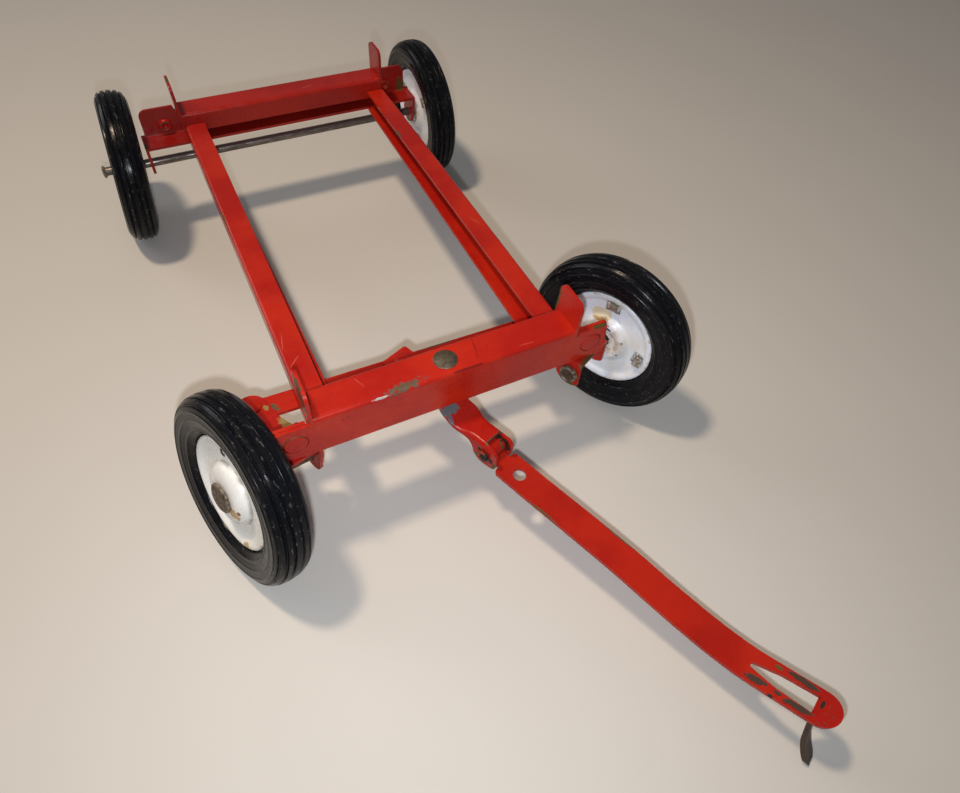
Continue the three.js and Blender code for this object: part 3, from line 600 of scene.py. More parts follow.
REAR_BRACKET_MARKS = [
    ("olive", (49.2, 79.0, 38.0), (1.6, 0.8, 3.4)),
    ("olive", (-54.6, 73.0, 35.4), (0.8, 2.6, 0.8), 0, 0.8),
    ("steel", (-54.5, 76.9, 23.4), (0.9, 2.6, 1.2), 0, 0.8),
    ("bare", (52.4, 76.9, 23.4), (0.9, 2.6, 1.2), 0, 0.8),
]
CRANK_MARKS = [
    ("grey", (-3.4, -4.2, 31.0), (3.6, 1.3, 2.0), -14, 0.9),
    ("grey", (-5.2, -7.2, 31.0), (0.9, 2.4, 2.0), -30, 0.9),
    ("dark", (-3.7, -16.6, 25.0), (0.5, 0.9, 0.7)),
    ("dark", (-3.7, -20.9, 23.2), (0.5, 0.8, 1.2)),
    # Painted shade over the right ear's inner face, inside the clevis.
    ("dark", (2.6, -18.8, 24.2), (0.6, 3.6, 3.4), 0, 1.0),
    ("bare", (0.0, -18.4, 28.2), (4.4, 0.5, 0.6)),
    ("olive", (-3.7, -22.5, 21.4), (0.6, 1.2, 1.5), 0, 0.8),
    ("olive", (-3.6, -15.2, 21.0), (0.6, 1.3, 1.0), 0, 0.8),
    ("olive", (3.8, -18.6, 24.0), (0.3, 4.2, 3.8)),
]
BAR_MARKS = [
    # The first and third marks are painted shade on the eye, beside the right clevis ear and under the
    # crank plate; the second is worn paint.
    ("dark", (2.1, -17.9, 25.6), (0.9, 2.4, 1.8), 0, 1.1),
    ("olive", (1.3, -20.4, 24.9), (0.5, 1.4, 1.6), 0, 1.0),
    ("dark", (-0.8, -16.6, 26.0), (1.5, 0.5, 0.9), 0, 1.2),
    ("brown", (-2.9, -105.6, 16.6), (0.9, 3.6, 0.9), 5, 0.9),
    ("brown", (-3.1, -115.6, 19.0), (0.8, 4.6, 1.2), 3, 0.9),
    ("brown", (-2.9, -110.9, 18.0), (0.5, 1.0, 0.8)),
    ("olive", (3.2, -108.5, 17.4), (0.5, 1.0, 0.8), 0, 0.6),
    ("brown", (3.5, -114.2, 18.9), (0.8, 5.4, 1.4), -3, 0.9),
    ("dark", (-4.5, -109.9, 17.5), (0.4, 0.7, 0.8), 0, 0.5),
    # Painted shade at the slot's front end, where the hook leg bends down from the strip.
    ("dark", (0.8, -119.6, 20.0), (1.2, 0.4, 0.8), 0, 0.6),
    ("dark", (-2.2, -122.6, 6.0), (5.0, 7.0, 11.0), 0, 0.35),
    ("brown", (-2.2, -122.6, 7.6), (5.0, 7.0, 9.6), 0, 1.4),
    ("steel", (4.5, -60.0, 18.7), (0.4, 7.0, 0.5)),
    ("olive", (-4.5, -41.0, 19.9), (0.4, 5.0, 0.5)),
]
LEFT_KNUCKLE_MARKS = [
    ("tan", (3.2, 6.4, 33.1), (1.5, 3.2, 1.0), 14, 0.9),
    ("tan", (1.6, 14.6, 33.1), (0.7, 1.0, 1.0), 0, 1.0),
    ("bare", (7.0, 0.8, 22.5), (0.6, 3.0, 3.0), 0, 0.8),
]
RIGHT_KNUCKLE_MARKS = [
    ("olive", (-2.0, -5.2, 32.7), (5.4, 1.2, 1.5), 0, 0.8),
    ("tan", (-2.6, 14.2, 33.1), (0.7, 1.3, 0.9), 0, 1.0),
    ("olive", (-7.2, -2.0, 22.8), (0.6, 3.6, 2.6), 0, 0.8),
]
ROD_MARKS = [
    ("steel", (-38.6, -1.0, 31.4), (0.7, 1.9, 0.6), 28, 0.8),
    ("bare", (12.0, 3.3, 31.2), (5.0, 0.5, 0.6)),
]

red = enamel("red")
bare = old_metal("bare_steel", (0.115, 0.092, 0.058), (0.05, 0.034, 0.018), (0.45, 0.7), 0.45)
dark = old_metal("axle_steel", (0.24, 0.21, 0.185), (0.09, 0.07, 0.055), (0.28, 0.5), 0.8, 0.5,
                 stretch=(0.4, 2, 2))
stub_metal = old_metal("stub_steel", (0.115, 0.072, 0.042), (0.045, 0.026, 0.014), (0.4, 0.65),
                       0.4)


# ---- Frame pieces ----

def channel(y0, y1, top, skirt0, skirt1, sheet, bend):
    """The section of a channel open below, from wall y0 to wall y1, as Y-Z points."""
    inner = max(bend - sheet, 0.05)
    return ([(y0, skirt0)] + arc(y0 + bend, top - bend, bend, 180, 90, 6)
            + arc(y1 - bend, top - bend, bend, 90, 0, 6) + [(y1, skirt1), (y1 - sheet, skirt1)]
            + arc(y1 - sheet - inner, top - sheet - inner, inner, 0, 90, 3)
            + arc(y0 + sheet + inner, top - sheet - inner, inner, 90, 180, 3)
            + [(y0 + sheet, skirt0)])


def wall_hole(r, x, y):
    """A step that drills a tab rivet's hole."""
    return ("DIFFERENCE", shifted(about(rod(r, -3, 3), 90, "X"), x, y, TAB_RIVET_Z))


def bolster(ears, lean, centre_hole=False):
    """A bolster in the front position: channel, stakes and end tabs with their rivet holes.
    Its right stake leans out by the given amount."""
    o, front, back = -BOLSTER_OUT, EAR_ROUND_FRONT, EAR_ROUND_BACK
    section = channel(o, -BOLSTER_IN, BOLSTER_TOP, BOLSTER_SKIRT, BOLSTER_INNER_SKIRT, SHEET, 1.3)
    body = prism(section, "X", 0.4 - ears["left"], ears["right"] - 0.4)
    steps = []
    for side, out in ((-1, ears["left"]), (1, ears["right"])):
        end = TAB_HALF + side * ears["shift"]
        tab = [(out - 2, BOLSTER_SKIRT), (end + 0.5, BOLSTER_SKIRT)]
        tab += arc(end - 0.8, TAB_TOP - 0.8, 0.8, 0, 90, 5)
        tab += [(out + TAB_GAP - 0.2, TAB_TOP), (out + TAB_GAP - 0.4, TAB_TOP - 1.2),
                (out - 2, TAB_TOP - 1.2)]
        steps.append(("UNION", upright(side, tab, o, o + SHEET)))
        stake = [(-EAR_FRONT, TAB_TOP - 0.9), (-EAR_BACK - 0.8, TAB_TOP - 0.9),
                 (-EAR_BACK, TAB_TOP + 0.6)]
        stake += arc(-EAR_BACK - back, ears["top"] - back, back, 0, 90, 8)
        stake += arc(-EAR_FRONT + front, ears["top"] - front, front, 90, 180, 8)
        ear = prism(stake, "X", out - SHEET, out)
        if side > 0:
            for vert in ear.verts:
                vert.co.x += lean * max(0.0, vert.co.z - BOLSTER_TOP) / (ears["top"] - BOLSTER_TOP)
        steps.append(("UNION", ear if side > 0 else mirrored(ear)))
    for side in (-1, 1):
        steps.append(wall_hole(RIVET_SEAT, side * TAB_RIVET_X + ears["shift"], o))
    if centre_hole:
        steps.append(bored(PIN_HOLE, 40, 50, 0, PIVOT_Y))
    return solid(body, *steps)


def rail(side):
    """A channel rail on its side: the web outside, the lower flange narrowing to the rear."""
    out, top, low, s = RAIL_OUT, RAIL_TOP, RAIL_BOTTOM, SHEET
    y0, y1 = -BOLSTER_IN, BOLSTER_IN
    section = ([(out - RAIL_FLANGE, top), (out - RAIL_FLANGE, top - s), (out - s, top - s),
                (out - s, low + s), (out - 4, low + s), (out - 4, low)]
               + arc(out - 1.1, low + 1.1, 1.1, -90, 0, 5) + arc(out - 1.1, top - 1.1, 1.1, 0, 90, 5))
    web = prism(section, "Y", y0, y1)
    foot = prism([(out - 3.5, y0), (out - 3.5, y1), (out - RAIL_FOOT_REAR, y1),
                  (out - RAIL_FOOT_FRONT, y0)], "Z", low, low + s)
    front = block((out - s, -TONGUE_END, FRONT_LEDGE + s), (out, y0 + 1, TONGUE_TOP))
    rear = block((out - s, y1 - 1, REAR_LEDGE + s), (out, TONGUE_END, TONGUE_TOP))
    right = solid(web, ("UNION", foot), ("UNION", front), ("UNION", rear))
    return right if side > 0 else mirrored(right)


def front_bracket():
    y, z, half = 1 - BOLSTER_OUT, FRONT_LEDGE, FRONT_BRACKET_HALF
    section = ([(y, UNDER_EARS)] + arc(y + 1.4, z + 1.4, 1.4, 180, 270, 5)
               + [(-FRONT_LEDGE_BACK, z), (-FRONT_LEDGE_BACK, z + SHEET)]
               + arc(y + 1.5, z + 1.5, 0.5, 270, 180, 3) + [(y + SHEET, UNDER_EARS)])
    steps = []
    for side, ear in ((-1, FRONT_EARS["left"]), (1, FRONT_EARS["right"])):
        lip = [(ear + TAB_GAP, 43.5), (half, 43.5)]
        lip += arc(half - 0.9, FRONT_LIP_TOP - 0.9, 0.9, 0, 90, 5) + [(ear + TAB_GAP, FRONT_LIP_TOP)]
        steps.append(("UNION", upright(side, lip, y, y + SHEET)))
        steps.append(wall_hole(PIN_HOLE, side * TAB_RIVET_X, y))
    for x in (-KINGPIN_X, 0, KINGPIN_X):
        steps.append(bored(PIN_HOLE, 30, 40, x, PIVOT_Y))
    return solid(prism(section, "X", -half, half), *steps)


def rear_bracket():
    """An angle whose ledge runs past its plate and is turned down at both ends for the axle."""
    y1, z, s, top = BOLSTER_OUT - 1, REAR_LEDGE, SHEET, REAR_PLATE_TOP
    section = ([(REAR_LEDGE_FRONT, z + s), (REAR_LEDGE_FRONT, z)]
               + arc(y1 - 1.4, z + 1.4, 1.4, 270, 360, 5) + [(y1, UNDER_EARS), (y1 - s, UNDER_EARS)]
               + arc(y1 - 1.5, z + 1.5, 0.5, 360, 270, 3))
    steps = []
    for side, ledge_end, plate_end, bolster_ear in (
            (-1, -REAR_LEDGE_ENDS[0], -REAR_PLATE_ENDS[0], REAR_EARS["left"]),
            (1, REAR_LEDGE_ENDS[1], REAR_PLATE_ENDS[1], REAR_EARS["right"])):
        plate = [(bolster_ear + TAB_GAP, 43.0), (plate_end, 42.0)]
        plate += arc(plate_end - 3, top - 3, 3, 0, 90, 8) + [(bolster_ear + TAB_GAP, top)]
        steps.append(("UNION", upright(side, plate, y1 - s, y1)))
        # The plate ends before the ledge and its upper corner is rounded off.
        waste = [(plate_end, z + 1.6), (plate_end + 3, z + 1.6), (plate_end + 3, top + 2),
                 (plate_end - 3, top + 2)] + arc(plate_end - 3, top - 3, 3, 90, 0, 8)
        steps.append(("DIFFERENCE", upright(side, waste, y1 - 2, y1 + 1)))
        ear = ([(REAR_LEDGE_FRONT, z + 0.9), (REAR_LEDGE_FRONT, z - 1.5)]
               + arc(AXLE_Y, AXLE_Z, AXLE_EAR_ROUND, 180, 360, 16)
               + [(y1, z - 1.0), (y1, z + 0.9)])
        inside, outside = sorted((side * (ledge_end - s), side * ledge_end))
        steps.append(("UNION", prism(ear, "X", inside, outside)))
        steps.append(wall_hole(PIN_HOLE, side * TAB_RIVET_X + REAR_EARS["shift"], y1))
    bore = shifted(about(rod(AXLE_R + 0.3, -60, 60), 90, "Y"), 0, AXLE_Y, AXLE_Z)
    return solid(prism(section, "X", *REAR_LEDGE_ENDS), *steps, ("DIFFERENCE", bore))


def chassis_piece(name, bm, node, material, bevel=0.2):
    piece(name, bm, placed(), "chassis", node, material, bevel=bevel)


def bracket_piece(name, bm, node, x):
    """A steel piece of the chassis about an upright axis through the front bracket."""
    piece(name, bm, placed(x, PIVOT_Y), "chassis", node, bare, 0)


# The rear bolster is turned half round, so that its own left is on the wagon's right.
turned_ears = dict(REAR_EARS, left=REAR_EARS["right"], right=REAR_EARS["left"],
                   shift=-REAR_EARS["shift"])
chassis_piece("front_bolster_shell", bolster(FRONT_EARS, 0.7, True), "front_bolster",
              enamel("front_bolster", BOLSTER_MARKS))
chassis_piece("rear_bolster_shell", about(bolster(turned_ears, 0.5), 180, "Z"), "rear_bolster",
              enamel("rear_bolster", REAR_BOLSTER_MARKS, tones=CRIMSON))
for name, side, marks in (("left", -1, LEFT_RAIL_MARKS), ("right", 1, RIGHT_RAIL_MARKS)):
    chassis_piece(f"{name}_rail_channel", rail(side), f"{name}_rail",
                  enamel(f"{name}_rail", marks))
chassis_piece("front_bracket_angle", front_bracket(), "front_bracket", red)
chassis_piece("rear_bracket_angle", rear_bracket(), "rear_bracket",
              enamel("rear_bracket", REAR_BRACKET_MARKS, tones=CRIMSON))

for end, sign, shift in (("front", -1, 0.0), ("rear", 1, REAR_EARS["shift"])):
    for name, x in (("left", -1), ("right", 1)):
        # A flush head outside and a domed tail inside; the rivet's axis runs out of the wall.
        rivet = turned([(0, 2.35), (0.7, 2.4), (1.05, 2.7), (1.35, 3.05), (1.75, 3.1), (2.15, 2.8),
                        (2.38, 2.4), (2.4, 2.0), (PIN, 2.0),
                        (PIN, 1.0), (3.18, 0.95), (3.22, 0.15), (3.1, -0.06), (2.75, -0.16),
                        (1.2, -0.2), (0, -0.21)], 48)
        rivet = shifted(about(rivet, sign * 90, "X"), x * TAB_RIVET_X + shift, sign * BOLSTER_OUT,
                        TAB_RIVET_Z)
        chassis_piece(f"{end}_{name}_tab_rivet_head", rivet, f"{end}_{name}_tab_rivet", red, 0)

# The centre rivet's head was formed a little to the left of its shank.
centre_rivet = turned([(0, 30.4), (1.8, 30.5), (2.25, 31.0), (2.3, 31.6), (PIN, 31.6),
                       (PIN, BOLSTER_TOP), (3.3, BOLSTER_TOP), (3.4, 46.95)]
                      + domed(3.3, 0.95, 47.05), 48)
for vert in centre_rivet.verts:
    if vert.co.z > BOLSTER_TOP - 0.01:
        vert.co.x -= 0.4
bracket_piece("centre_rivet_dome", centre_rivet, "centre_rivet", 0)
for name, x in (("left", -KINGPIN_X), ("right", KINGPIN_X)):
    pin = turned([(0, 30.9), (1.7, 30.95), (2.15, 31.3), (2.2, 31.6), (PIN, 31.6), (PIN, 35.7),
                  (2.6, 35.7)] + domed(2.6, 1.1, 35.8), 40)
    bracket_piece(f"{name}_kingpin_rivet", pin, f"{name}_kingpin", x)
for name, x in (("centre", 0), ("left_kingpin", -KINGPIN_X), ("right_kingpin", KINGPIN_X)):
    ring = turned([(PIN_HOLE, 33.5), (1.8, 33.4), (3.45, 33.4), (3.6, 33.55), (3.6, 34.6),
                   (3.5, 34.7), (1.8, 34.7), (PIN_HOLE, 34.6)], 40)
    bracket_piece(f"{name}_washer_ring", ring, f"{name}_washer", x)

# ---- Steering pieces ----

def crank():
    """The bell crank: a flat rear arm, a drop and a clevis with two ears."""
    t, s = CRANK_TOP, STRIP
    rear = prism([(-5.2, -2.4), (4.1, -2.4), (4.1, 20.2), (3.6, 20.7), (-4.7, 20.7), (-5.2, 20.2)],
                 "Z", t - s, t)
    # Ahead of the rivet the plate drops and narrows, and its edges turn down into the ears:
    # distance ahead, height, reach to the left and right, radius of the turned edges.
    line = smooth([(2.2, t, 5.2, 4.1, 0.15), (3.1, 32.9, 5.5, 4.0, 0.2), (5, 31.0, 5.3, 3.9, 0.3),
                   (7.5, 29.3, 5.1, 4.6, 0.5), (9.5, 28.6, 4.7, 4.45, 0.9),
                   (11.5, 28.4, 4.1, 3.95, 1.2), (13.5, 28.4, 3.72, 3.72, 1.4),
                   (16, 28.4, 3.7, 3.7, 1.45), (24, 28.4, 3.7, 3.7, 1.45)], 5)
    bm = loft([[(u, -r, z + dz) for u, dz in channel(-left, right, 0, -14, -14, 1.1, bend)]
               for r, z, left, right, bend in line])
    # Seen from the side, the ears grow out of the plate and hang about the pin.
    under = smooth([(2.2, t - 1.3), (3.0, 31.5), (4.2, 30.2), (5.5, 29.3), (7.5, 28.0),
                    (9.5, 27.3), (11.5, 26.4), (13.0, 25.2), (14.0, 23.4), (14.5, 21.6)], 4)
    under += smooth([(16.5, 19.6), (19.3, 19.5), (22.0, 20.2), (22.9, 22.6), (23.0, 25.0),
                     (22.3, 26.6), (21.0, 27.7), (18.6, 28.3)], 4)
    keep = prism([(-r, z) for r, z in under + [(18.3, 40), (2.2, 40)]], "X", -8, 8)
    gap = block((-CLEVIS_INNER, -30, 10), (CLEVIS_INNER, -18.2, 40))
    bore = shifted(about(rod(PIN_HOLE, -8, 8), 90, "Y"), 0, CLEVIS_V, CLEVIS_Z)
    return solid(bm, ("INTERSECT", keep), ("DIFFERENCE", gap), ("UNION", rear),
                 ("DIFFERENCE", bore), bored(PIN_HOLE, 30, 35), bored(PIN_HOLE, 30, 35, 0, ARM))


piece("bell_crank_plate", crank(), CRANK, "steering_crank", "bell_crank",
      enamel("crank", CRANK_MARKS, wear=0.62))
pin = turned([(0, -5.15), (0.8, -5.1), (1.5, -4.9), (1.9, -4.5), (1.9, -3.9), (PIN, -3.9),
              (PIN, 3.9), (1.9, 3.9), (1.85, 4.4), (1.3, 4.75), (0, 4.85)], 40)
pin_mark = ("dark", (-4.4, CLEVIS_V - 0.8, CLEVIS_Z + 0.6), (1.4, 1.5, 1.3), 0, 1.2)
piece("drawbar_pin_rivet", shifted(about(pin, 90, "Y"), 0, CLEVIS_V, CLEVIS_Z), CRANK,
      "steering_crank", "drawbar_pin", enamel("drawbar_pin", [pin_mark]), bevel=0)


def drawbar():
    """The drawbar: a long strip with an eye, a hole, a slot and the lanced hook leg."""
    b, n = BAR_HALF, NECK_HALF

    def strip(points, steps, half):
        """The drawbar's strip, lying under a smooth line of Y-Z points."""
        top = smooth(points, steps)
        return prism(top + [(v, z - STRIP) for v, z in reversed(top)], "X", -half, half)

    plan = [(n, -19), (-n, -19), (-n, -SHOULDER + 0.4), (-n - 0.4, -SHOULDER),
            (-b + 0.6, -SHOULDER), (-b, -SHOULDER - 0.8)]
    plan += arc(0, -NOSE + b, b, 180, 360, 24)
    plan += [(b, -SHOULDER - 0.8), (b - 0.6, -SHOULDER), (n + 0.4, -SHOULDER),
             (n, -SHOULDER + 0.4)]
    slot = [(-2.4, -118.7), (2.4, -118.7), (2.0, -110)] + arc(0, -103.9, 0.8, 0, 180, 8)
    slot += [(-2.0, -110)]
    # The eye is the strip's end, curled round the pin and left just open.
    eye = arc(CLEVIS_V, CLEVIS_Z, PIN_HOLE + STRIP, -90, -425, 32)
    eye += arc(CLEVIS_V, CLEVIS_Z, PIN_HOLE, -90, -425, 32)[::-1]
    neck = strip([(CLEVIS_V, CLEVIS_Z - PIN_HOLE), (-20.6, 21.75), (-22.6, 21.2), (-24.6, 20.98)],
                 5, n)
    side = prism(ribbon(smooth([(-r, z) for r, z in LEG], 4), STRIP), "X", -5, 5)
    front = prism([(-LEG_HALF, 25), (-LEG_HALF, 2.05)] + arc(0, 2.0, LEG_HALF, 180, 360, 14)[1:]
                  + [(LEG_HALF, 25)], "Y", -140, -100)
    leg = shifted(solid(side, ("INTERSECT", front)), 0, LEG_TURN_R, -LEG_TURN_Z)
    leg = shifted(about(leg, HOOK_LEAN, "Y"), 0, -LEG_TURN_R, LEG_TURN_Z)
    return solid(strip([(-r, z) for r, z in BAR_TOP], 4, b), ("INTERSECT", prism(plan, "Z", 0, 40)),
                 ("DIFFERENCE", prism(slot, "Z", 0, 40)),
                 bored(BAR_HOLE_R, 0, 40, 0, -BAR_HOLE),
                 ("UNION", neck), ("UNION", prism(eye, "X", -n, n)), ("UNION", leg))


piece("drawbar_strip", drawbar(), CRANK, "drawbar", "drawbar",
      enamel("drawbar", BAR_MARKS, wear=0.58, tones=BAR_RED))

link = arc(-KINGPIN_X, 0, ROD_HALF, 90, 270, 20) + arc(KINGPIN_X, 0, ROD_HALF, -90, 90, 20)
link_steps = [bored(PIN_HOLE, 29, 33, x) for x in (-KINGPIN_X, 0, KINGPIN_X)]
piece("tie_rod_link", solid(prism(link, "Z", ROD_TOP - STRIP, ROD_TOP), *link_steps), ROD,
      "tie_rod", "tie_rod", enamel("tie_rod", ROD_MARKS, wear=0.6))
for name, x in (("left", -KINGPIN_X), ("centre", 0), ("right", KINGPIN_X)):
    rivet = turned([(0, 29.1), (1.6, 29.12), (2.2, 29.45), (2.3, 29.9), (PIN, 29.9),
                    (PIN, 33.4), (2.6, 33.4)] + domed(2.6, 0.7, 33.45), 40)
    piece(f"{name}_tie_rod_rivet_dome", shifted(rivet, x, 0, 0), ROD, "tie_rod",
          f"{name}_tie_rod_rivet", red, bevel=0)


def stub_line(name):
    """A front wheel's centre and axle direction in the frame of its knuckle."""
    side = -1 if name == "left" else 1
    centre, outward, _ = WHEELS[f"front_{name}"]
    back = Matrix.Rotation(-KNUCKLE_TURN[name], 3, "Z")
    return (back @ (Vector(centre) - Vector((side * KINGPIN_X, PIVOT_Y, 0))),
            (back @ Vector(outward)).normalized())


def knuckle(side, name):
    """A steering knuckle in its own frame: a channel with an arm, bored for the stub axle."""
    at, way = stub_line(name)
    n, t = KNUCKLE_HALF, CRANK_TOP
    inner = KNUCKLE_IN[name]
    low, high = (-inner, KNUCKLE_OUT) if side > 0 else (-KNUCKLE_OUT, inner)
    section = channel(low, high, t, 10, 10, STRIP - 0.15, 1.6)

    def lobe(u0, u1):
        hit = at + way * (((u0 + u1) / 2 - at.x) / way.x)
        shape = ([(n, 40), (-n, 40), (-n, t - 3.2)] + arc(hit.y, hit.z, 5.0, 180, 360, 20)
                 + [(n, t - 3.2)])
        return solid(prism(section, "Y", -n, n), ("INTERSECT", prism(shape, "X", u0, u1)))
    web = solid(prism(section, "Y", -n, n),
                ("INTERSECT", block((low + 3.5, -7, t - 2), (high - 3.5, 7, t + 1))))
    # The arm ends round about the tie rod's end.
    end = Matrix.Rotation(ROD_SKEW, 3, "Z") @ Vector((side * KINGPIN_X, 0, 0)) + ROD_AT
    end -= Vector((side * KINGPIN_X, PIVOT_Y, 0))
    u, v, _ = Matrix.Rotation(-KNUCKLE_TURN[name], 3, "Z") @ end
    half = KNUCKLE_ARM_HALF
    arm = [(u - half - 1.4, 4.5), (u - half - 0.5, 7.4), (u - half, 10)]
    arm += arc(u, v, half, 180, 0, 18) + [(u + half, 10), (u + half + 0.5, 7.4), (u + half + 1.4, 4.5)]
    holder = Matrix.Translation(at) @ way.to_track_quat("Z", "Y").to_matrix().to_4x4()
    return solid(web, ("UNION", lobe(low - 1, low + 4)), ("UNION", lobe(high - 4, high + 1)),
                 ("UNION", prism(arm, "Z", t - 1.05, t)), bored(PIN_HOLE, 30, 35),
                 bored(WORN_HOLE, 30, 35, u, v),
                 ("DIFFERENCE", moved(rod(2.0, -26, 0), holder)))


for side, name, marks in ((-1, "left", LEFT_KNUCKLE_MARKS), (1, "right", RIGHT_KNUCKLE_MARKS)):
    body = f"{name}_knuckle"
    piece(f"{name}_knuckle_channel", knuckle(side, name),
          placed(side * KINGPIN_X, PIVOT_Y, 0, KNUCKLE_TURN[name]), body, body,
          enamel(f"{name}_knuckle", marks, wear=0.6))
    # The inner head is cupped and bears on the inboard flange; the outer one lies on the hub.
    at, way = stub_line(name)
    head = (KNUCKLE_IN[name] + abs(at.x)) / abs(way.x) + STUB_HEAD_R * abs(way.z / way.x) + 0.2
    stub = turned([(0, -head - 0.45), (1.3, -head - 0.5), (1.9, -head - 0.75), (2.3, -head - 1.15),
                   (2.6, -head - 1.1), (2.88, -head - 0.7), (STUB_HEAD_R, -head), (STUB_R, -head),
                   (STUB_R, 5.15), (4.0, 5.15), (4.3, 5.35), (4.15, 5.8), (3.6, 6.1), (2.4, 6.2),
                   (1.2, 6.1), (0, 6.08)], 48)
    centre, outward, _ = WHEELS[f"front_{name}"]
    piece(f"{name}_stub_axle_pin", stub, facing(centre, outward), body, f"{name}_stub_axle",
          stub_metal, 0)

axle = turned([(0, AXLE_LEFT), (1.5, AXLE_LEFT + 0.05), (2.2, AXLE_LEFT + 0.35),
               (2.35, AXLE_LEFT + 0.7), (2.0, AXLE_LEFT + 1.0), (AXLE_R, AXLE_LEFT + 1.4),
               (AXLE_R, AXLE_RIGHT - 1.2), (2.0, AXLE_RIGHT - 0.95), (2.35, AXLE_RIGHT - 0.7),
               (2.2, AXLE_RIGHT - 0.3), (1.5, AXLE_RIGHT - 0.05), (0, AXLE_RIGHT)], 40)
piece("rear_axle_rod", about(axle, 90, "Y"), placed(0, AXLE_Y, AXLE_Z), "rear_axle",
      "rear_axle", dark, 0)

# ---- Wheels ----

VENT = (11.8, 114)  # the outer disc's small hole: distance from the axle, angle
GROOVES = [(1.15, 0.34, 0.62), (3.2, 0.34, 0.62), (5.35, 0.36, 0.55)]  # along, half width, depth
RIDGES = [(7.1, 0.28, 0.2), (9.3, 0.28, 0.2), (12.1, 0.5, 0.3)]


def tyre():
    """A tyre with five tread ribs between deep grooves, and fine ridges on its sidewalls."""
    half = smooth([(27.0, 0), (26.98, 1.2), (26.55, 3.2), (25.4, 4.65), (23.3, 5.25), (20.6, 5.0),
                   (18.4, 4.35), (16.9, 3.4)], 9)
    profile, along = [], 0.0
    for i, (r, h) in enumerate(half):
        way = heading(half, i)
        depth = 0.0
        for place, width, size in GROOVES:
            depth += size * max(0.0, 1 - (abs(along - place) / width) ** 4)
        for place, width, size in RIDGES:
            depth -= size * max(0.0, 1 - (abs(along - place) / width) ** 2)
        profile.append((r - way.y * depth, h + way.x * depth))
        if i + 1 < len(half):
            along += dist(half[i], half[i + 1])
    bead = [(16.7, 2.4), (15.8, 1.9)]
    one = profile[::-1]
    other = [(r, -h) for r, h in profile[1:]]
    return turned(one + other + [(r, -h) for r, h in bead] + bead[::-1], 128)


def clinch_tab(turn, dice):
    """A tab that comes through the inner disc's slot and is beaten down over it."""
    line = [(11.75, 1.5), (11.75, -2.6), (11.95, -3.1), (12.5, -3.35), (13.4, -3.2), (14.3, -3.3)]
    bm = loft([[(r, y + skew * (r - 11.75), h) for r, h in ribbon(line, 0.55)]
               for y, skew in ((-1.9, 0.08), (-0.9, 0), (0, -0.05), (0.9, 0.06), (1.9, -0.1))])
    for vert in bm.verts:
        if vert.co.z < -2.4:
            vert.co += Vector((dice.uniform(-0.16, 0.16), dice.uniform(-0.2, 0.2),
                               dice.uniform(-0.28, 0.16)))
    return ("UNION", about(bm, turn, "Z"))


def outer_disc(tabs, hole, dice):
    """The outer disc: rolled rim, dish, domed hub and three clinch tabs."""
    rim = smooth([(14.0, 2.35), (14.9, 3.05), (15.6, 3.38), (16.2, 3.3), (16.42, 3.0)], 4)
    hub = smooth([(3.0, 5.05), (4.6, 5.0), (6.0, 4.85), (7.2, 4.5), (8.2, 3.8), (8.75, 2.95),
                  (9.0, 2.2)], 6)
    face = [(BORE, 5.0)] + hub + [(9.2, 1.95), (9.6, 1.86), (12.2, 1.95), (13.2, 2.1)] + rim
    profile = face + [(16.3, 2.7), (15.4, 2.65), (15.4, 0.15), (14.75, 0.15), (14.75, 1.5),
                      (13.0, 1.25), (9.0, 1.2), (8.2, 1.9), (7.6, 3.2), (6.0, 4.15), (BORE, 4.3)]
    steps = [clinch_tab(turn, dice) for turn in tabs]
    if hole:
        r, turn = hole
        steps.append(("DIFFERENCE", about(shifted(rod(1.0, 0.5, 4, 24), r, 0, 0), turn, "Z")))
    return solid(turned(profile[::-1], 96), *steps)


def inner_disc(tabs):
    """The inner disc: rolled rim, a flat with three slots and a hub boss with a raised ring."""
    hub = smooth([(4.1, -3.6), (4.6, -4.1), (5.4, -4.25), (6.4, -4.15), (7.2, -3.6), (8.0, -2.8),
                  (8.7, -2.3), (9.6, -2.2)], 5)
    rim = smooth([(13.2, -2.2), (14.0, -2.35), (14.7, -2.8), (15.5, -3.05), (16.2, -2.95),
                  (16.4, -2.65)], 4)
    face = [(BORE, -3.55)] + hub + [(12.0, -2.2)] + rim
    profile = face + [(16.3, -2.35), (15.4, -2.3), (15.4, -0.15), (14.75, -0.15),
                      (14.7, -1.6), (8.3, -1.5), (6.2, -3.5), (4.9, -3.5), (4.3, -2.9),
                      (BORE, -2.9)]
    steps = [("DIFFERENCE", about(block((10.6, -2.5, -4), (14.0, 2.5, -1)), turn, "Z"))
             for turn in tabs]
    return solid(turned(profile, 96), *steps)


OUTER_MARKS = {"front_left": [("stain", (5.0, -1.6, 4.8), (2.6, 1.7, 1.2), -8, 0.9),
                              ("rust", (7.0, 0.2, 4.5), (0.55, 0.7, 0.8), 0, 0.6),
                              ("stain", (8.6, -13.6, 3.0), (2.0, 1.4, 1.0), 30, 1.0),
                              ("dark", (-4.8, 10.8, 2.0), (1.25, 1.25, 0.8), 0, 0.3)]}
# On the front right inner disc: a soft pale tan patch above the hub with a thin orange-brown line
# along it, then small dark and rust chips.
INNER_MARKS = {"front_right": [("halo", (3.4, 8.0, -3.0), (3.8, 2.4, 2.0), -20, 0.5),
                               ("stain", (3.6, 6.6, -3.8), (2.6, 0.5, 1.5), -20, 1.0),
                               ("dark", (-0.9, 5.2, -4.0), (0.9, 0.4, 0.8), 10, 0.8),
                               ("dark", (-6.4, 2.4, -4.0), (0.25, 0.3, 0.8), 0, 0.5),
                               ("rust", (-6.0, -2.9, -4.0), (0.3, 0.4, 0.8), -20, 0.8)]}
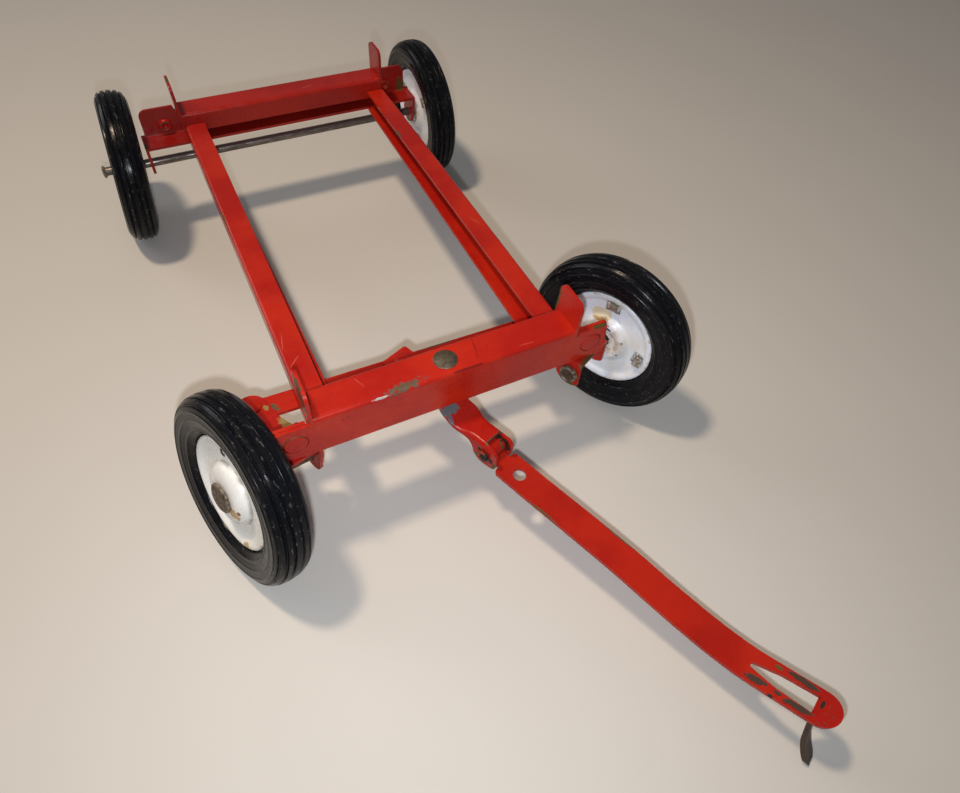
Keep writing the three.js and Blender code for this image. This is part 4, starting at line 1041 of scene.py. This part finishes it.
for number, (name, (centre, outward, tabs)) in enumerate(WHEELS.items()):
    where = facing(centre, outward)
    body = f"{name}_wheel"
    dice = random.Random(number)
    piece(f"{name}_tyre_ribbed", tyre(), where, body, f"{name}_tyre",
          rubber_tyre(f"{name}_rubber", number), 0)
    hole = VENT if name == "front_left" else None
    piece(f"{name}_outer_disc_dished", outer_disc(tabs, hole, dice), where, body,
          f"{name}_outer_disc",
          white_enamel(f"{name}_outer_white", OUTER_MARKS.get(name, ()), True), 0)
    piece(f"{name}_inner_disc_slotted", inner_disc(tabs), where, body, f"{name}_inner_disc",
          white_enamel(f"{name}_inner_white", INNER_MARKS.get(name, ()), False), 0)

# ---- Floor, lights and camera ----

# Metres; the floor lies just under the tyres.
FLOOR_HALF, FLOOR_DROP = 3, 0.0001
LOOK_AT = (0, -0.03, 0.02)
CAMERA_AT, CAMERA_LENS, CAMERA_SENSOR = (-51.93, -183.47, 183.04), 25.39, 36
PITCH, AZIMUTH, ROLL = radians(51.7), radians(30.4), radians(5.1)

floor_mesh = bpy.data.meshes.new("floor")
h = FLOOR_HALF
floor_mesh.from_pydata([(-h, -h, 0), (h, -h, 0), (h, h, 0), (-h, h, 0)], [], [(0, 1, 2, 3)])
floor = add("floor", floor_mesh)
floor_mesh.materials.append(pale_floor("floor"))
floor.location.z = cad_bounds[0][2] - FLOOR_DROP


def area_light(name, place, size, power, color):
    """A round soft light aimed at the model, placed in the wagon's frame."""
    data = bpy.data.lights.new(name, "AREA")
    data.shape = "DISK"
    data.size = size
    data.energy = power
    data.color = color
    obj = add(name, data)
    obj.location = SHIFT + Vector(place)
    obj.rotation_euler = (Vector(LOOK_AT) - Vector(place)).to_track_quat("-Z", "Y").to_euler()
    obj.visible_camera = False


area_light("lamp", (-0.140, 0.047, 0.560), 0.06, 1.65, (1.0, 0.80, 0.60))
area_light("front_light", (-0.058, -0.1875, 0.172), 0.006, 0.27, (0.90, 0.94, 1.0))
area_light("fill", (-0.9, 1.0, 0.7), 0.8, 3.6, (0.97, 0.97, 1.0))

scene = bpy.context.scene
world = bpy.data.worlds.new("room")
scene.world = world
world.use_nodes = True
sky = world.node_tree.nodes["Background"].inputs
sky["Color"].default_value = (0.90, 0.93, 1.0, 1.0)
sky["Strength"].default_value = 0.16
scene.view_settings.view_transform = "Standard"

camera_data = bpy.data.cameras.new("camera")
camera_data.sensor_width = CAMERA_SENSOR
camera_data.lens = CAMERA_LENS
camera = add("camera", camera_data)
look = Vector((sin(AZIMUTH) * cos(PITCH), cos(AZIMUTH) * cos(PITCH), -sin(PITCH)))
level = Vector((cos(AZIMUTH), -sin(AZIMUTH), 0))
upward = level.cross(look)
right = cos(ROLL) * level + sin(ROLL) * upward
top = -sin(ROLL) * level + cos(ROLL) * upward
camera.matrix_world = (Matrix.Translation(SHIFT + Vector(CAMERA_AT) * MM)
                       @ Matrix((right, top, -look)).transposed().to_4x4())
scene.camera = camera
